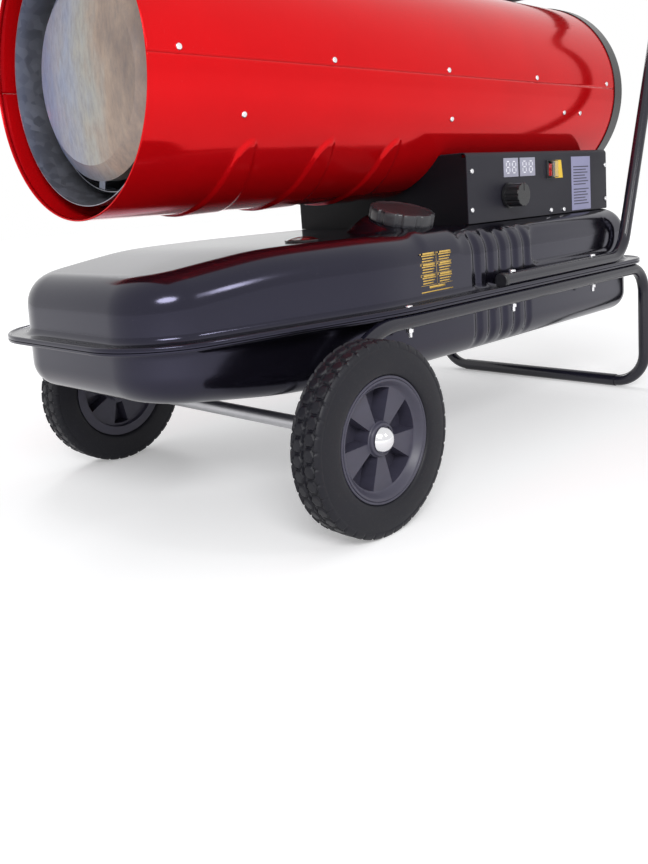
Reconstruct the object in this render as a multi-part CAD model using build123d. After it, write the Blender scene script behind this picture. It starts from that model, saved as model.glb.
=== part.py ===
from build123d import *
import os
from math import atan2, cos, degrees, radians, sin, sqrt, tan

# Forced air heater: a direct-fired barrel heater standing on its fuel tank, with a bent-tube frame,
# two wheels and a push handle. Millimetres. +X is the side with the controls, the hot air leaves
# towards -Y, +Z is up. The design axes have the wheel axle at Y = 0 and the floor at Z = 0;
# the finished pieces are shifted along Y so that the origin is under the middle of the heater.

# ---------------------------------------------------------------- driving dimensions
GAP = 0.3                  # air between pieces that move past each other
RUN = 0.05                 # radial clearance of a shaft in its bore
FIT = 0.1                  # radial clearance of a screw, a plug or a seated piece

# wheels and axle
WHEEL_R = 125.0
WHEEL_X = 302.5            # middle plane of each wheel
TYRE_W = 50.0
TREAD_W = 34.0
TREAD_DEPTH = 4.0
TREAD_GROOVE = 4.0
TREAD_BLOCKS = 36
TREAD_CUT = 3.0
RIM_R = 81.0               # outside of the rim's lips
RIM_WELL_R = 72.0          # where the tyre sits
RIM_INNER_R = 66.0
RIM_W = 44.0
RIM_LIP = 3.0
SPOKE_FRONT = 12.0         # spoke face, out from the middle plane
SPOKE_BACK = 14.0
WEB_T = 3.0                # floor of the pockets between the spokes
SPOKES = 5
SPOKE_ANGLE = 34.0
HUB_R = 22.0
HUB_OUT = 17.0
HUB_IN = 24.0
BUSH_WALL = 2.5
BUSH_LENGTH = 14.0
BUSH_FLANGE = 1.5
AXLE_R = 10.0
EYE_WALL = 6.0
EYE_HALF = 12.0            # half length of the axle eye
CAP_R = 17.5               # chrome hub cap
CAP_DOME = 11.0
CAP_GRIP = 7.0             # how far the axle reaches into the cap

# tank
TANK_WALL = 1.5
FLANGE_HALF_W = 260.0
FLANGE_FRONT = -264.0
FLANGE_REAR = 907.0
FRONT_CORNER_R = 120.0
REAR_CORNER_R = 80.0
TAPER = 10.0               # degrees that each side leans in towards the front
TAPER_START = 125.0        # where the sides begin to lean in
TAPER_BLEND_R = 500.0
FLANGE_OVERHANG = 30.0     # flange beyond the tank's wall
FLANGE_SEAM = 264.0
FLANGE_FOLD = 4.0          # each half's flange is folded this thick
RIM_RISE = 2.0
RIM_BAND = 4.5
TANK_TOP = 369.0
TANK_FRONT_TOP = 339.0
TOP_SLOPE_START = -40.0
SLOPE_BLEND_R = 700.0
TANK_BOTTOM = 169.0
TANK_FRONT_BOTTOM = 198.0
BOTTOM_SLOPE_START = -26.0
TOP_FILLET = 45.0
BOTTOM_FILLET = 37.0
RIB_FIRST = 342.0          # pressed upright grooves in the tank's sides
RIB_PITCH = 36.0
RIB_COUNT = 5
RIB_GROOVE_R = 8.0
RIB_DEPTH = 3.5
RIB_TOP = 350.0
PANEL_Y = (506.0, 797.0)   # long pressed panel in the upper half
PANEL_Z = (294.0, 350.0)
PANEL_DEPTH = 6.0
PANEL_CORNER_R = 18.0

# filler
NECK_TILT = 16.0
NECK_AT = (148.9, 261.0, 382.0)
MOUND_TOP_R = 53.0
MOUND_BASE_R = 98.0
MOUND_DEPTH = 46.0
NECK_R = 30.0
NECK_WALL = 2.0
NECK_RISE = 13.2
NECK_REACH = 46.0
NECK_FLANGE_R = 40.0
NECK_FLANGE = 1.5
STRAINER_R = 26.5
STRAINER_DEPTH = 72.0
STRAINER_WALL = 0.8
STRAINER_SLOTS = 8
GASKET = 2.5
CAP_OUT_R = 50.5
CAP_HEIGHT = 21.0
CAP_WALL = 5.0
CAP_LOBES = 10
CAP_SCALLOP_R = 9.0
CAP_SCALLOP = 2.2

# fuel gauge
GAUGE_AT = (130.0, 66.0)
GAUGE_R = 25.0
GAUGE_BODY_H = 2.0
GAUGE_HOLE_R = 17.0
LENS_R = 23.0
LENS_RISE = 5.0
LENS_WALL = 1.2
NEEDLE_LENGTH = 15.0
SPINDLE_R = 1.0
STEM_R = 5.0
CLEVIS = 14.0
CLEVIS_SLOT = 4.0
PIVOT_DROP = 28.0          # float pivot below the tank's top
PIVOT_R = 1.5
FLOAT_ARM = 130.0
FLOAT_ARM_W = 3.0
FLOAT_R = 18.0
FLOAT_LENGTH = 40.0
FLOAT_REST = 62.0          # degrees below level when the tank is empty

# frame, stand and handle
TUBE_R = 11.0
TUBE_WALL = 1.5
TUBE_X = 249.0
FRONT_BEND_R = 118.0
REAR_BEND_R = 52.0
LEG_Y = 883.0
SLEEVE_R = 12.25
SLEEVE_HALF = 187.0
SLEEVE_BEND_R = 62.0
SLEEVE_OVERLAP = 25.0
HANDLE_START = 388.0
HANDLE_CORNER_Y = 790.0
HANDLE_LEAN = 20.4         # degrees back from upright
HANDLE_BEND_R = 60.0
HANDLE_TOP_R = 60.0
GRIP_Z = 850.0
CROSS_HALF = 150.0
PLUG_LENGTH = 25.0
GRIP_R = 16.0
GRIP_HALF = 140.0
END_CAP_R = 12.0
END_CAP = 9.0

# fasteners
BOLT_R = 3.0
BOLT_HEAD_R = 6.0
BOLT_HEAD = 3.5
BOLT_TAIL = 12.0
NUT_R = 5.8
NUT = 5.0
HANDLE_BOLTS_Y = (412.0, 675.0)
FRONT_BOLT_Y = 148.5
SCREW_R = 2.0
SCREW_HEAD_R = 4.2
SCREW_HEAD = 2.6
SCREW_LENGTH = 10.0

# control box
BOX_HALF_W = 194.0
BOX_Y = (377.0, 843.0)
BOX_TOP = 483.0
BOX_SHEET = 1.5
PANEL_LIFT = 0.5           # side panels stop this far above the tank
PANEL_BEND_R = 8.0
SHELF_EDGE_X = 143.0
TAB_FRONT = 26.0
TAB_REAR = 14.0
DISPLAY_Y = ((482.0, 526.0), (532.0, 580.0))
DISPLAY_Z = (440.5, 472.0)
DISPLAY_DEPTH = 18.0
DISPLAY_PROUD = 1.0
SWITCH_AT = (631.5, 450.0)
SWITCH_BEZEL = (25.0, 32.0)
SWITCH_BEZEL_T = 2.5
SWITCH_BODY = (20.6, 28.6)
SWITCH_DEPTH = 22.0
ROCKER_HALF_W = 7.0
ROCKER_HALF_H = 11.0
ROCKER_TILT = 10.0
COVER_RISE = 9.0
COVER_WALL = 1.5
KNOB_AT = (492.0, 410.0)
KNOB_R = 19.5
KNOB_SKIRT_R = 21.0
KNOB_LENGTH = 30.0
KNOB_FLUTES = 12
KNOB_SHAFT_R = 3.0
BUSHING_R = 4.9
BUSHING_NUT = 2.0
CAN_R = 12.0
CAN_DEPTH = 18.0
PLATE_Y = (707.0, 778.0)
PLATE_Z = (372.0, 471.0)
PLATE_T = 0.5
CORNER_SCREWS = ((390.0, 453.0), (387.0, 391.0), (837.0, 453.0), (837.0, 388.0))
BRACKET_SCREWS = ((631.0, 377.0), (676.0, 376.0))
BOARD_Y = (430.0, 604.0)
BOARD_Z = (372.0, 470.0)
BOARD_SETBACK = 30.0       # board, in from the panel's face
BOARD_T = 1.6
STANDOFF_R = 3.0
STANDOFF_INSET = 10.0
RELAY = (19.0, 20.0)       # along the board and up it
RELAY_T = 16.0
RELAY_COUNT = 3
PART_PITCH = 26.0          # from one relay or capacitor to the next
CAPACITOR_R = 8.0
CAPACITOR_T = 14.0
CAPACITOR_COUNT = 2
TRANSFORMER = (48.0, 80.0, 62.0)
TRANSFORMER_SETBACK = 60.0 # inner end, in from the panel's face
TRANSFORMER_Y = 640.0
GLAND_SETBACK = 74.0       # in from the panel's face
GLAND_Z = 398.0
GLAND_R = 12.0
GLAND_LENGTH = 26.0
GLAND_REACH = 12.0

# barrel
AXIS_Z = 602.0
BARREL_R = 184.0
BARREL_WALL = 1.2
BARREL_Y = (-205.0, 930.0)
SEAM = 0.2
LIP_HEIGHT = 15.0
LOUVRE_FIRST = -64.0       # pressed ribs round the underside
LOUVRE_PITCH = 145.0
LOUVRE_COUNT = 3
LOUVRE_STEP = 7.0          # length of each rib's steep front edge
LOUVRE_RISE = 4.0
LOUVRE_TAIL = 1.8          # what is left of the rise at the rib's rear
LOUVRE_HALF_X = 155.0      # how far a rib reaches up each side
LOUVRE_SHOULDER_X = 139.0
LOUVRE_WIDTH = 80.0        # at the bottom of the barrel
LOUVRE_END = (20.0, 40.0)  # front and rear of a rib at its upper ends
RING_W = 27.0
RING_T = 2.0
RING_TURN = 14.0
GUARD_PITCH = 15.0
GUARD_WIRE_R = 1.5
GUARD_STEP = 1.9           # wire rings sit this far in front of the spokes
GUARD_HUB_R = 28.0
GUARD_SPOKES = 8
SIDE_SCREWS_Y = (-60.0, 372.5)
SIDE_SCREW_ANGLE = -20.7
MOTOR_SCREWS_Y = (715.0, 774.0)
MOTOR_SCREW_ANGLE = -15.5
SEAM_SCREW_COUNT = 5
SEAM_SCREW_LIFT = 8.0

# hot end
LINER_GAP = 18.4           # from the barrel's outside to the liner's
LINER_WALL = 1.0
LINER_Y = (-186.0, 430.0)
BRACKET_W = 16.0
BRACKET_T = 1.5
CHAMBER_GAP = 16.6         # from the liner's outside to the chamber's
CHAMBER_WALL = 1.2
CHAMBER_Y = (-146.0, 400.0)
CHAMBER_HOLE_R = 60.0
DEFLECTOR_GAP = 15.0       # from the chamber's outside to the deflector's rim
DEFLECTOR_RIM_W = 21.0     # from the rim in to the face
DEFLECTOR_RIM_Y = -160.0
DEFLECTOR_FACE_Y = -174.0
DEFLECTOR_CROWN = 8.0
DEFLECTOR_SKIRT = 20.0
DEFLECTOR_WALL = 1.5
STRAP_ANGLES = (-38.0, -105.0, 142.0, 75.0)
STRAP_W = 14.0
BURNER_R = 66.0
BURNER_T = 3.0
BURNER_SLOTS = 8
NOZZLE_R = 7.0
NOZZLE_REACH = 14.0
ADAPTER_R = 14.0
ADAPTER_SHANK = 12.0
ADAPTER_HALF = 15.0
ADAPTER_LENGTH = 30.0
ELECTRODE_X = 10.0
ELECTRODE_Z = 30.0
CERAMIC_R = 4.0
CERAMIC_TAIL = 40.0
SPARK_WIRE_R = 1.0

# motor, fan and pump
MOTOR_R = 62.0
MOTOR_BAND = 2.0
MOTOR_BAND_W = 12.0
MOTOR_Y = (700.0, 850.0)
SHAFT_R = 7.0
SHAFT_Y = (624.0, 882.0)
CLAMP_T = 3.0
CLAMP_Y = (705.0, 785.0)
ARM_T = 3.0
FOOT_W = 24.0              # width of the foot at the end of each arm
FAN_GAP = 12.0             # from the barrel's outside to the blade tips
FAN_HUB_R = 28.0
FAN_Y = (630.0, 680.0)
FAN_BLADES = 5
FAN_PITCH = 32.0
FAN_BLADE_T = 2.5
FAN_CHORD = 84.0
PUMP_R = 45.0
PUMP_LENGTH = 32.0
PUMP_BORE_R = 32.0
PUMP_OFFSET = 2.0
ROTOR_R = 29.0
FILTER_LENGTH = 30.0
FILTER_WALL = 2.0

# lines and wiring
HOSE_R = 4.0
HOSE_BEND = 24.0
LINE_X = 8.0               # the air line is at +X and the fuel line ends at -X
LINE_Z = 392.0             # height of the lines inside the control box
LINE_RISE_Z = 482.0        # height of the lines behind the burner
FUEL_X = -60.0
FUEL_Y = (700.0, 520.0)    # where the fuel line leaves the tank and enters the barrel
AIR_Y = (800.0, 540.0)     # where the air line leaves and enters the barrel
FUEL_FOOT = 12.0
LEAD_R = 2.5
LEAD_BEND = 12.0
SPARK_Z = 410.0
SPARK_X = 30.0
SPARK_Y = 590.0
SPARK_START_Y = (665.0, 695.0)
MOTOR_LEAD = (20.0, 812.0)
MOTOR_LEAD_Z = 435.0
MOTOR_LEAD_LOW = 385.0
MAINS_R = 3.5
MAINS_Y = 515.0
HOLE_MARGIN = 3.0

# ---------------------------------------------------------------- worked out from the above
FLANGE_TOP = FLANGE_SEAM + FLANGE_FOLD
FLANGE_BOTTOM = FLANGE_SEAM - FLANGE_FOLD
TANK_SIDE_X = FLANGE_HALF_W - FLANGE_OVERHANG
FRAME_Z = FLANGE_BOTTOM - TUBE_R
HANDLE_Z = FLANGE_TOP + TUBE_R
STAND_Z = SLEEVE_R
CROSS_Y = HANDLE_CORNER_Y + (GRIP_Z - HANDLE_Z) * tan(radians(HANDLE_LEAN))
HUB_FACE_X = WHEEL_X + HUB_OUT
CAP_FOOT_X = HUB_FACE_X + BUSH_FLANGE + GAP
AXLE_HALF = CAP_FOOT_X + CAP_GRIP
BORE_R = AXLE_R + RUN
FLOAT_PIVOT_Z = TANK_TOP - PIVOT_DROP
PANEL_BOTTOM = TANK_TOP + PANEL_LIFT
BOARD_X = BOX_HALF_W - BOARD_SETBACK
TRANSFORMER_X = BOX_HALF_W - TRANSFORMER_SETBACK
GLAND_AT = (BOX_HALF_W - GLAND_SETBACK, GLAND_Z)
LINER_R = BARREL_R - LINER_GAP
CHAMBER_R = LINER_R - CHAMBER_GAP
DEFLECTOR_RIM_R = CHAMBER_R - DEFLECTOR_GAP
DEFLECTOR_FACE_R = DEFLECTOR_RIM_R - DEFLECTOR_RIM_W
FAN_R = BARREL_R - FAN_GAP
HOSE_HOLES = ((FUEL_X, FUEL_Y[1]), (LINE_X, AIR_Y[0]), (LINE_X, AIR_Y[1]))
LEAD_HOLES = ((SPARK_X, SPARK_Y), (-SPARK_X, SPARK_Y), MOTOR_LEAD)
MIDDLE_Y = (FLANGE_FRONT + CROSS_Y + GRIP_R) / 2
SIDES = (1, -1)


# ---------------------------------------------------------------- helpers
def rod(axis, radius, start, end, u=0.0, v=0.0):
    """Round bar along X, Y or Z; u and v are its other two coordinates in X, Y, Z order."""
    origin = {"X": (start, u, v), "Y": (u, start, v), "Z": (u, v, start)}[axis]
    along = {"X": (1, 0, 0), "Y": (0, 1, 0), "Z": (0, 0, 1)}[axis]
    return extrude(Plane(origin=origin, z_dir=along) * Circle(radius), end - start)


def pipe(axis, outer, inner, start, end, u=0.0, v=0.0):
    """Round tube along X, Y or Z."""
    return rod(axis, outer, start, end, u, v) - rod(axis, inner, start, end, u, v)


def block(x, y, z):
    """Box between the two values given for each axis."""
    middle = Pos((x[0] + x[1]) / 2, (y[0] + y[1]) / 2, (z[0] + z[1]) / 2)
    return middle * Box(x[1] - x[0], y[1] - y[0], z[1] - z[0])


def turned_x(points, x=0.0):
    """Solid turned about the wheel axle from (along, radius) points."""
    face = make_face(Polyline(*points, close=True))
    return Pos(x, 0, WHEEL_R) * revolve(face, axis=Axis.X)


def turned_y(points):
    """Solid turned about the barrel's axis from (radius, y) points."""
    face = make_face(Polyline(*points, close=True))
    return Pos(0, 0, AXIS_Z) * revolve(face, axis=Axis.Y)


def barrel_ring(outer, inner, y):
    """Round shell about the barrel's axis."""
    return pipe("Y", outer, inner, y[0], y[1], 0, AXIS_Z)


def bent_bar(points, radii, radius):
    """Round bar along straight runs joined by tangent arcs."""
    path = FilletPolyline(*points, radius=radii)
    return sweep(Plane(origin=path @ 0, z_dir=path % 0) * Circle(radius), path=path)


def bent_tube(points, radii):
    """Frame tube along straight runs joined by tangent arcs."""
    return bent_bar(points, radii, TUBE_R) - bent_bar(points, radii, TUBE_R - TUBE_WALL)


def mirrored(solid):
    """The same piece on the other side of the heater."""
    return mirror(solid, about=Plane.YZ)


def both_sides(solid):
    """A piece and its mirror image as two solids."""
    return [solid, mirrored(solid)]


def joined(pieces):
    """One fused solid from a list of touching pieces."""
    first, *rest = pieces
    return first.fuse(*rest) if rest else first


def drilled(solid, drills):
    """A solid with every drill taken out of it."""
    return solid.cut(*drills)


def spoke_block(angle, radii, width, y):
    """Flat bar that runs out from the barrel's axis."""
    bar = block(radii, y, (-width / 2, width / 2))
    return Pos(0, 0, AXIS_Z) * Rot(0, -angle, 0) * bar


# ---------------------------------------------------------------- tank
def tank_outline(inset):
    """Plan of the tank, drawn in evenly from the edge of its flange; its sides lean in towards the front."""
    lean = radians(TAPER)
    half = FLANGE_HALF_W - inset
    front = FLANGE_FRONT + inset
    rear = FLANGE_REAR - inset
    bend = TAPER_START + inset * tan(lean / 2)
    nose = half - (bend - front) * tan(lean)
    right = [(nose, front), (half, bend), (half, rear)]
    left = [(-x, y) for x, y in reversed(right)]
    face = make_face(Polyline(*right, *left, close=True))
    face = fillet(face.vertices().sort_by(Axis.Y)[2:4], TAPER_BLEND_R - inset)
    face = fillet(face.vertices().sort_by(Axis.Y)[:2], FRONT_CORNER_R - inset)
    return fillet(face.vertices().sort_by(Axis.Y)[-2:], REAR_CORNER_R - inset)


def slab(inset, low, high):
    """Level slice of the tank's plan."""
    return extrude(Pos(0, 0, low) * tank_outline(inset), high - low)


def level_limit(start, level, front_level, far):
    """Everything from a far height to a level face that turns off at a gentle slope in front of start."""
    front = FLANGE_FRONT - TANK_WALL
    rear = FLANGE_REAR
    face = make_face(
        Polyline((front, far), (front, front_level), (start, level), (rear, level), (rear, far), close=True)
    )
    crest = face.vertices().sort_by(lambda v: abs(v.X - start))[0]
    face = fillet(crest, SLOPE_BLEND_R)
    return extrude(Plane.YZ * face, FLANGE_HALF_W, both=True)


def runs_round(edge):
    """False for the creases where a slope begins, True for the other edges of the top or the bottom."""
    crosses = abs(edge.tangent_at(0.5).X) > 0.99
    inside = FLANGE_FRONT + 2 * FLANGE_OVERHANG < edge.center().Y < FLANGE_REAR - 2 * FLANGE_OVERHANG
    return not (crosses and inside)


def upper_form(shrink):
    """Upper tank body without its flange; shrink draws every face in."""
    body = slab(FLANGE_OVERHANG + shrink, FLANGE_SEAM, TANK_TOP)
    body = body & level_limit(TOP_SLOPE_START, TANK_TOP - shrink, TANK_FRONT_TOP - shrink, 0)
    low = TANK_FRONT_TOP - 2 * TANK_WALL
    rim = [e for e in body.edges() if e.center().Z > low and runs_round(e)]
    return fillet(rim, TOP_FILLET - shrink)


def lower_form(shrink):
    """Lower tank body without its flange; shrink draws every face in."""
    body = slab(FLANGE_OVERHANG + shrink, TANK_BOTTOM, FLANGE_SEAM)
    body = body & level_limit(BOTTOM_SLOPE_START, TANK_BOTTOM + shrink, TANK_FRONT_BOTTOM + shrink, TANK_TOP)
    high = TANK_FRONT_BOTTOM + 2 * TANK_WALL
    rim = [e for e in body.edges() if e.center().Z < high and runs_round(e)]
    return fillet(rim, BOTTOM_FILLET - shrink)


def neck_plane(rise=0.0):
    """Plane square to the tilted filler, rise above the top of its mound."""
    tilt = radians(NECK_TILT)
    x, y, z = NECK_AT
    return Plane(origin=(x + rise * sin(tilt), y, z + rise * cos(tilt)), z_dir=(sin(tilt), 0, cos(tilt)))


def neck_rod(radius, low, high):
    """Round bar on the filler's axis between two heights above the mound's top."""
    return extrude(neck_plane(low) * Circle(radius), high - low)


def neck_ring(outer, inner, low, high):
    """Round ring on the filler's axis."""
    return neck_rod(outer, low, high) - neck_rod(inner, low, high)


def mound(shrink):
    """Tilted cone that carries the filler, kept inside the tank's side wall."""
    cone = Cone(MOUND_BASE_R - shrink, MOUND_TOP_R - shrink, MOUND_DEPTH)
    placed = neck_plane(-shrink) * Pos(0, 0, -MOUND_DEPTH / 2) * cone
    return placed & slab(FLANGE_OVERHANG + shrink, FLANGE_TOP, TANK_TOP + MOUND_DEPTH)


def groove_places():
    """Y of each pressed groove in the tank's sides."""
    return [RIB_FIRST + RIB_PITCH * i for i in range(RIB_COUNT)]


def grooves(low, high, grow):
    """Upright grooves on both sides; grow makes the bars that back them inside."""
    x = TANK_SIDE_X + RIB_GROOVE_R - RIB_DEPTH
    bars = [rod("Z", RIB_GROOVE_R + grow, low, high, x, y) for y in groove_places()]
    return bars + [mirrored(bar) for bar in bars]


def side_panels(grow):
    """Long shallow pressed panels on both sides; grow makes the blocks that back them inside."""
    width = PANEL_Y[1] - PANEL_Y[0] + 2 * grow
    height = PANEL_Z[1] - PANEL_Z[0] + 2 * grow
    depth = PANEL_DEPTH + grow
    plane = Plane(
        origin=(TANK_SIDE_X - depth, sum(PANEL_Y) / 2, sum(PANEL_Z) / 2),
        x_dir=(0, 1, 0),
        z_dir=(1, 0, 0),
    )
    pocket = extrude(plane * RectangleRounded(width, height, PANEL_CORNER_R), 2 * depth)
    return both_sides(pocket)


def flange_drills():
    """Holes for the bolts that clamp the handle, the flange and the frame together."""
    places = [FRONT_BOLT_Y, *HANDLE_BOLTS_Y]
    drills = [rod("Z", BOLT_R + FIT, FLANGE_BOTTOM, FLANGE_TOP, TUBE_X, y) for y in places]
    return drills + [mirrored(drill) for drill in drills]


def tank_upper_shell():
    """Pressed upper half with the filler mound, side grooves, side panels and folded rim."""
    outside = upper_form(0).fuse(mound(0))
    outside = drilled(outside, grooves(FLANGE_TOP, RIB_TOP, 0) + side_panels(0))
    inside = upper_form(TANK_WALL).fuse(mound(TANK_WALL))
    backing = grooves(FLANGE_SEAM, RIB_TOP + TANK_WALL, TANK_WALL) + side_panels(TANK_WALL)
    inside = drilled(inside, backing)
    flange = slab(0, FLANGE_SEAM, FLANGE_TOP)
    rim = slab(0, FLANGE_TOP, FLANGE_TOP + RIM_RISE) - slab(RIM_BAND, FLANGE_TOP, FLANGE_TOP + RIM_RISE)
    shell = outside.fuse(flange, rim) - inside
    gauge_hole = rod("Z", GAUGE_HOLE_R + FIT, FLANGE_TOP, TANK_TOP + 1, *GAUGE_AT)
    neck_hole = neck_rod(NECK_R + FIT, -MOUND_DEPTH, TANK_WALL)
    pickup_hole = rod("Z", HOSE_R + FIT, FLANGE_TOP, TANK_TOP + 1, FUEL_X, FUEL_Y[0])
    return drilled(shell, [gauge_hole, neck_hole, pickup_hole, *flange_drills()])


def tank_lower_shell():
    """Pressed lower half with the same grooves and a folded flange."""
    outside = drilled(lower_form(0), grooves(TANK_BOTTOM, FLANGE_BOTTOM, 0))
    inside = drilled(lower_form(TANK_WALL), grooves(TANK_BOTTOM, FLANGE_SEAM, TANK_WALL))
    flange = slab(0, FLANGE_BOTTOM, FLANGE_SEAM)
    shell = outside.fuse(flange) - inside
    return drilled(shell, flange_drills())


# ---------------------------------------------------------------- filler and gauge
def filler_neck():
    """Steel neck with a flange on the mound."""
    tube = neck_rod(NECK_R, -NECK_REACH, NECK_RISE).fuse(neck_rod(NECK_FLANGE_R, 0, NECK_FLANGE))
    return tube - neck_rod(NECK_R - NECK_WALL, -NECK_REACH, NECK_RISE)


def filler_strainer():
    """Cup that hangs in the neck by its rim, with slots for the fuel."""
    top = NECK_RISE + STRAINER_WALL
    low = NECK_RISE - STRAINER_DEPTH
    cup = neck_rod(STRAINER_R, low, top).fuse(neck_rod(NECK_R, NECK_RISE, top))
    cup = cup - neck_rod(STRAINER_R - STRAINER_WALL, low + STRAINER_WALL, top)
    slot = Box(2 * NECK_R, 5, STRAINER_DEPTH / 2)
    middle = neck_plane(low + STRAINER_DEPTH * 0.45)
    turns = [i * 180 / (STRAINER_SLOTS / 2) for i in range(STRAINER_SLOTS // 2)]
    return drilled(cup, [middle * Rot(0, 0, turn) * slot for turn in turns])


def gasket_low():
    """Height of the gasket's underside above the mound's top."""
    return NECK_RISE + STRAINER_WALL + GAP


def filler_gasket():
    """Rubber ring inside the cap."""
    low = gasket_low()
    return neck_ring(NECK_R + NECK_WALL, NECK_R - 2 * NECK_WALL, low, low + GASKET)


def filler_cap():
    """Black screw cap with scalloped grips."""
    top = gasket_low() + GASKET + CAP_WALL
    low = top - CAP_HEIGHT
    cap = neck_rod(CAP_OUT_R, low, top)
    cap = fillet(cap.edges().sort_by(Axis.Z)[-1], CAP_SCALLOP)
    cap = cap - neck_rod(NECK_FLANGE_R + 2 * GAP, low, low + CAP_HEIGHT - CAP_WALL)
    reach = CAP_OUT_R + CAP_SCALLOP_R - CAP_SCALLOP
    scallop = Pos(reach, 0, 0) * Cylinder(CAP_SCALLOP_R, 3 * CAP_HEIGHT)
    turns = [i * 360 / CAP_LOBES for i in range(CAP_LOBES)]
    return drilled(cap, [neck_plane(low) * Rot(0, 0, turn) * scallop for turn in turns])


def gauge_body():
    """Dial housing on the tank's top with the fork that holds the float's pivot."""
    x, y = GAUGE_AT
    low = FLOAT_PIVOT_Z - CLEVIS / 2
    face = TANK_TOP + GAUGE_BODY_H
    head = rod("Z", GAUGE_R, TANK_TOP, face, x, y).fuse(
        rod("Z", GAUGE_HOLE_R, TANK_TOP - 2 * TANK_WALL, TANK_TOP, x, y),
        rod("Z", STEM_R, low + CLEVIS, TANK_TOP, x, y),
        rod("Z", SPINDLE_R, face, face + LENS_RISE / 2, x, y),
    )
    half = CLEVIS / 2
    fork = block((x - half, x + half), (y - half, y + half), (low, low + CLEVIS))
    gap = CLEVIS_SLOT / 2
    slot = block((x - gap, x + gap), (y - half, y + half), (low, low + CLEVIS - TANK_WALL))
    pivot = rod("X", PIVOT_R + RUN, x - half, x + half, y, FLOAT_PIVOT_Z)
    recess = pipe("Z", LENS_R - LENS_WALL, 2 * SPINDLE_R, face - 1, face, x, y)
    return drilled(head.fuse(fork), [slot, pivot, recess])


def gauge_lens():
    """Clear domed window over the needle."""
    x, y = GAUGE_AT
    foot = TANK_TOP + GAUGE_BODY_H
    sphere_r = (LENS_R ** 2 + LENS_RISE ** 2) / (2 * LENS_RISE)
    centre = Pos(x, y, foot + LENS_RISE - sphere_r)
    dome = centre * Sphere(sphere_r) - centre * Sphere(sphere_r - LENS_WALL)
    return dome & rod("Z", LENS_R, foot, foot + LENS_RISE, x, y)


def gauge_needle():
    """Pointer that turns on the dial's spindle."""
    x, y = GAUGE_AT
    low = TANK_TOP + GAUGE_BODY_H + GAP
    high = low + 1
    pointer = block((x - 0.8, x + 0.8), (y, y + NEEDLE_LENGTH), (low, high))
    needle = rod("Z", 3 * SPINDLE_R, low, high, x, y).fuse(pointer)
    return needle - rod("Z", SPINDLE_R + RUN, low, high, x, y)


def gauge_float():
    """Float on its arm, hanging on the fork's pivot."""
    x, y = GAUGE_AT
    half = FLOAT_ARM_W / 2
    arm = block((x - half, x + half), (y, y + FLOAT_ARM), (FLOAT_PIVOT_Z - 2, FLOAT_PIVOT_Z + 2))
    eye = rod("X", 2.5 * PIVOT_R, x - half, x + half, y, FLOAT_PIVOT_Z)
    pin = rod("X", PIVOT_R, x - CLEVIS / 2, x + CLEVIS / 2, y, FLOAT_PIVOT_Z)
    drum = rod("X", FLOAT_R, x - FLOAT_LENGTH / 2, x + FLOAT_LENGTH / 2, y + FLOAT_ARM, FLOAT_PIVOT_Z)
    level = arm.fuse(eye, pin, drum)
    return level.rotate(Axis((x, y, FLOAT_PIVOT_Z), (1, 0, 0)), -FLOAT_REST)


# ---------------------------------------------------------------- frame, stand and handle
def frame_tube():
    """Right-hand frame tube, from the axle eye under the flange and down to the stand."""
    route = [
        (TUBE_X, 0, WHEEL_R),
        (TUBE_X, 0, FRAME_Z),
        (TUBE_X, LEG_Y, FRAME_Z),
        (TUBE_X, LEG_Y, STAND_Z),
        (SLEEVE_HALF - SLEEVE_OVERLAP, LEG_Y, STAND_Z),
    ]
    tube = bent_tube(route, [FRONT_BEND_R, REAR_BEND_R, SLEEVE_BEND_R])
    ends = (TUBE_X - EYE_HALF, TUBE_X + EYE_HALF)
    eye = rod("X", AXLE_R + EYE_WALL, *ends, 0, WHEEL_R)
    drills = [rod("X", AXLE_R + FIT, *ends, 0, WHEEL_R)]
    low = FRAME_Z - 2 * TUBE_R
    for y in (FRONT_BOLT_Y, *HANDLE_BOLTS_Y):
        drills.append(rod("Z", BOLT_R + FIT, low, FRAME_Z + 2 * TUBE_R, TUBE_X, y))
    return drilled(tube.fuse(eye), drills)


def stand_cross_tube():
    """Sleeve on the floor that joins the ends of both frame tubes."""
    return pipe("X", SLEEVE_R, TUBE_R + FIT, -SLEEVE_HALF, SLEEVE_HALF, LEG_Y, STAND_Z)


def handle_tube():
    """Right-hand handle tube, along the flange and then up and back to the grip."""
    route = [
        (TUBE_X, HANDLE_START, HANDLE_Z),
        (TUBE_X, HANDLE_CORNER_Y, HANDLE_Z),
        (TUBE_X, CROSS_Y, GRIP_Z),
        (CROSS_HALF, CROSS_Y, GRIP_Z),
    ]
    tube = bent_tube(route, [HANDLE_BEND_R, HANDLE_TOP_R])
    low, high = HANDLE_Z - 2 * TUBE_R, HANDLE_Z + 2 * TUBE_R
    return drilled(tube, [rod("Z", BOLT_R + FIT, low, high, TUBE_X, y) for y in HANDLE_BOLTS_Y])


def handle_cross_bar():
    """Middle of the handle, plugged into both side tubes."""
    bar = rod("X", TUBE_R, -CROSS_HALF, CROSS_HALF, CROSS_Y, GRIP_Z)
    plug_half = CROSS_HALF + PLUG_LENGTH
    plug = rod("X", TUBE_R - TUBE_WALL - FIT, -plug_half, plug_half, CROSS_Y, GRIP_Z)
    hollow = rod("X", TUBE_R - 3 * TUBE_WALL, -plug_half, plug_half, CROSS_Y, GRIP_Z)
    return bar.fuse(plug) - hollow


def handle_grip():
    """Rubber sleeve over the cross bar."""
    grip = rod("X", GRIP_R, -GRIP_HALF, GRIP_HALF, CROSS_Y, GRIP_Z)
    grip = fillet(grip.edges().filter_by(GeomType.CIRCLE), GRIP_R - TUBE_R - 2)
    return grip - rod("X", TUBE_R, -GRIP_HALF, GRIP_HALF, CROSS_Y, GRIP_Z)


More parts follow.
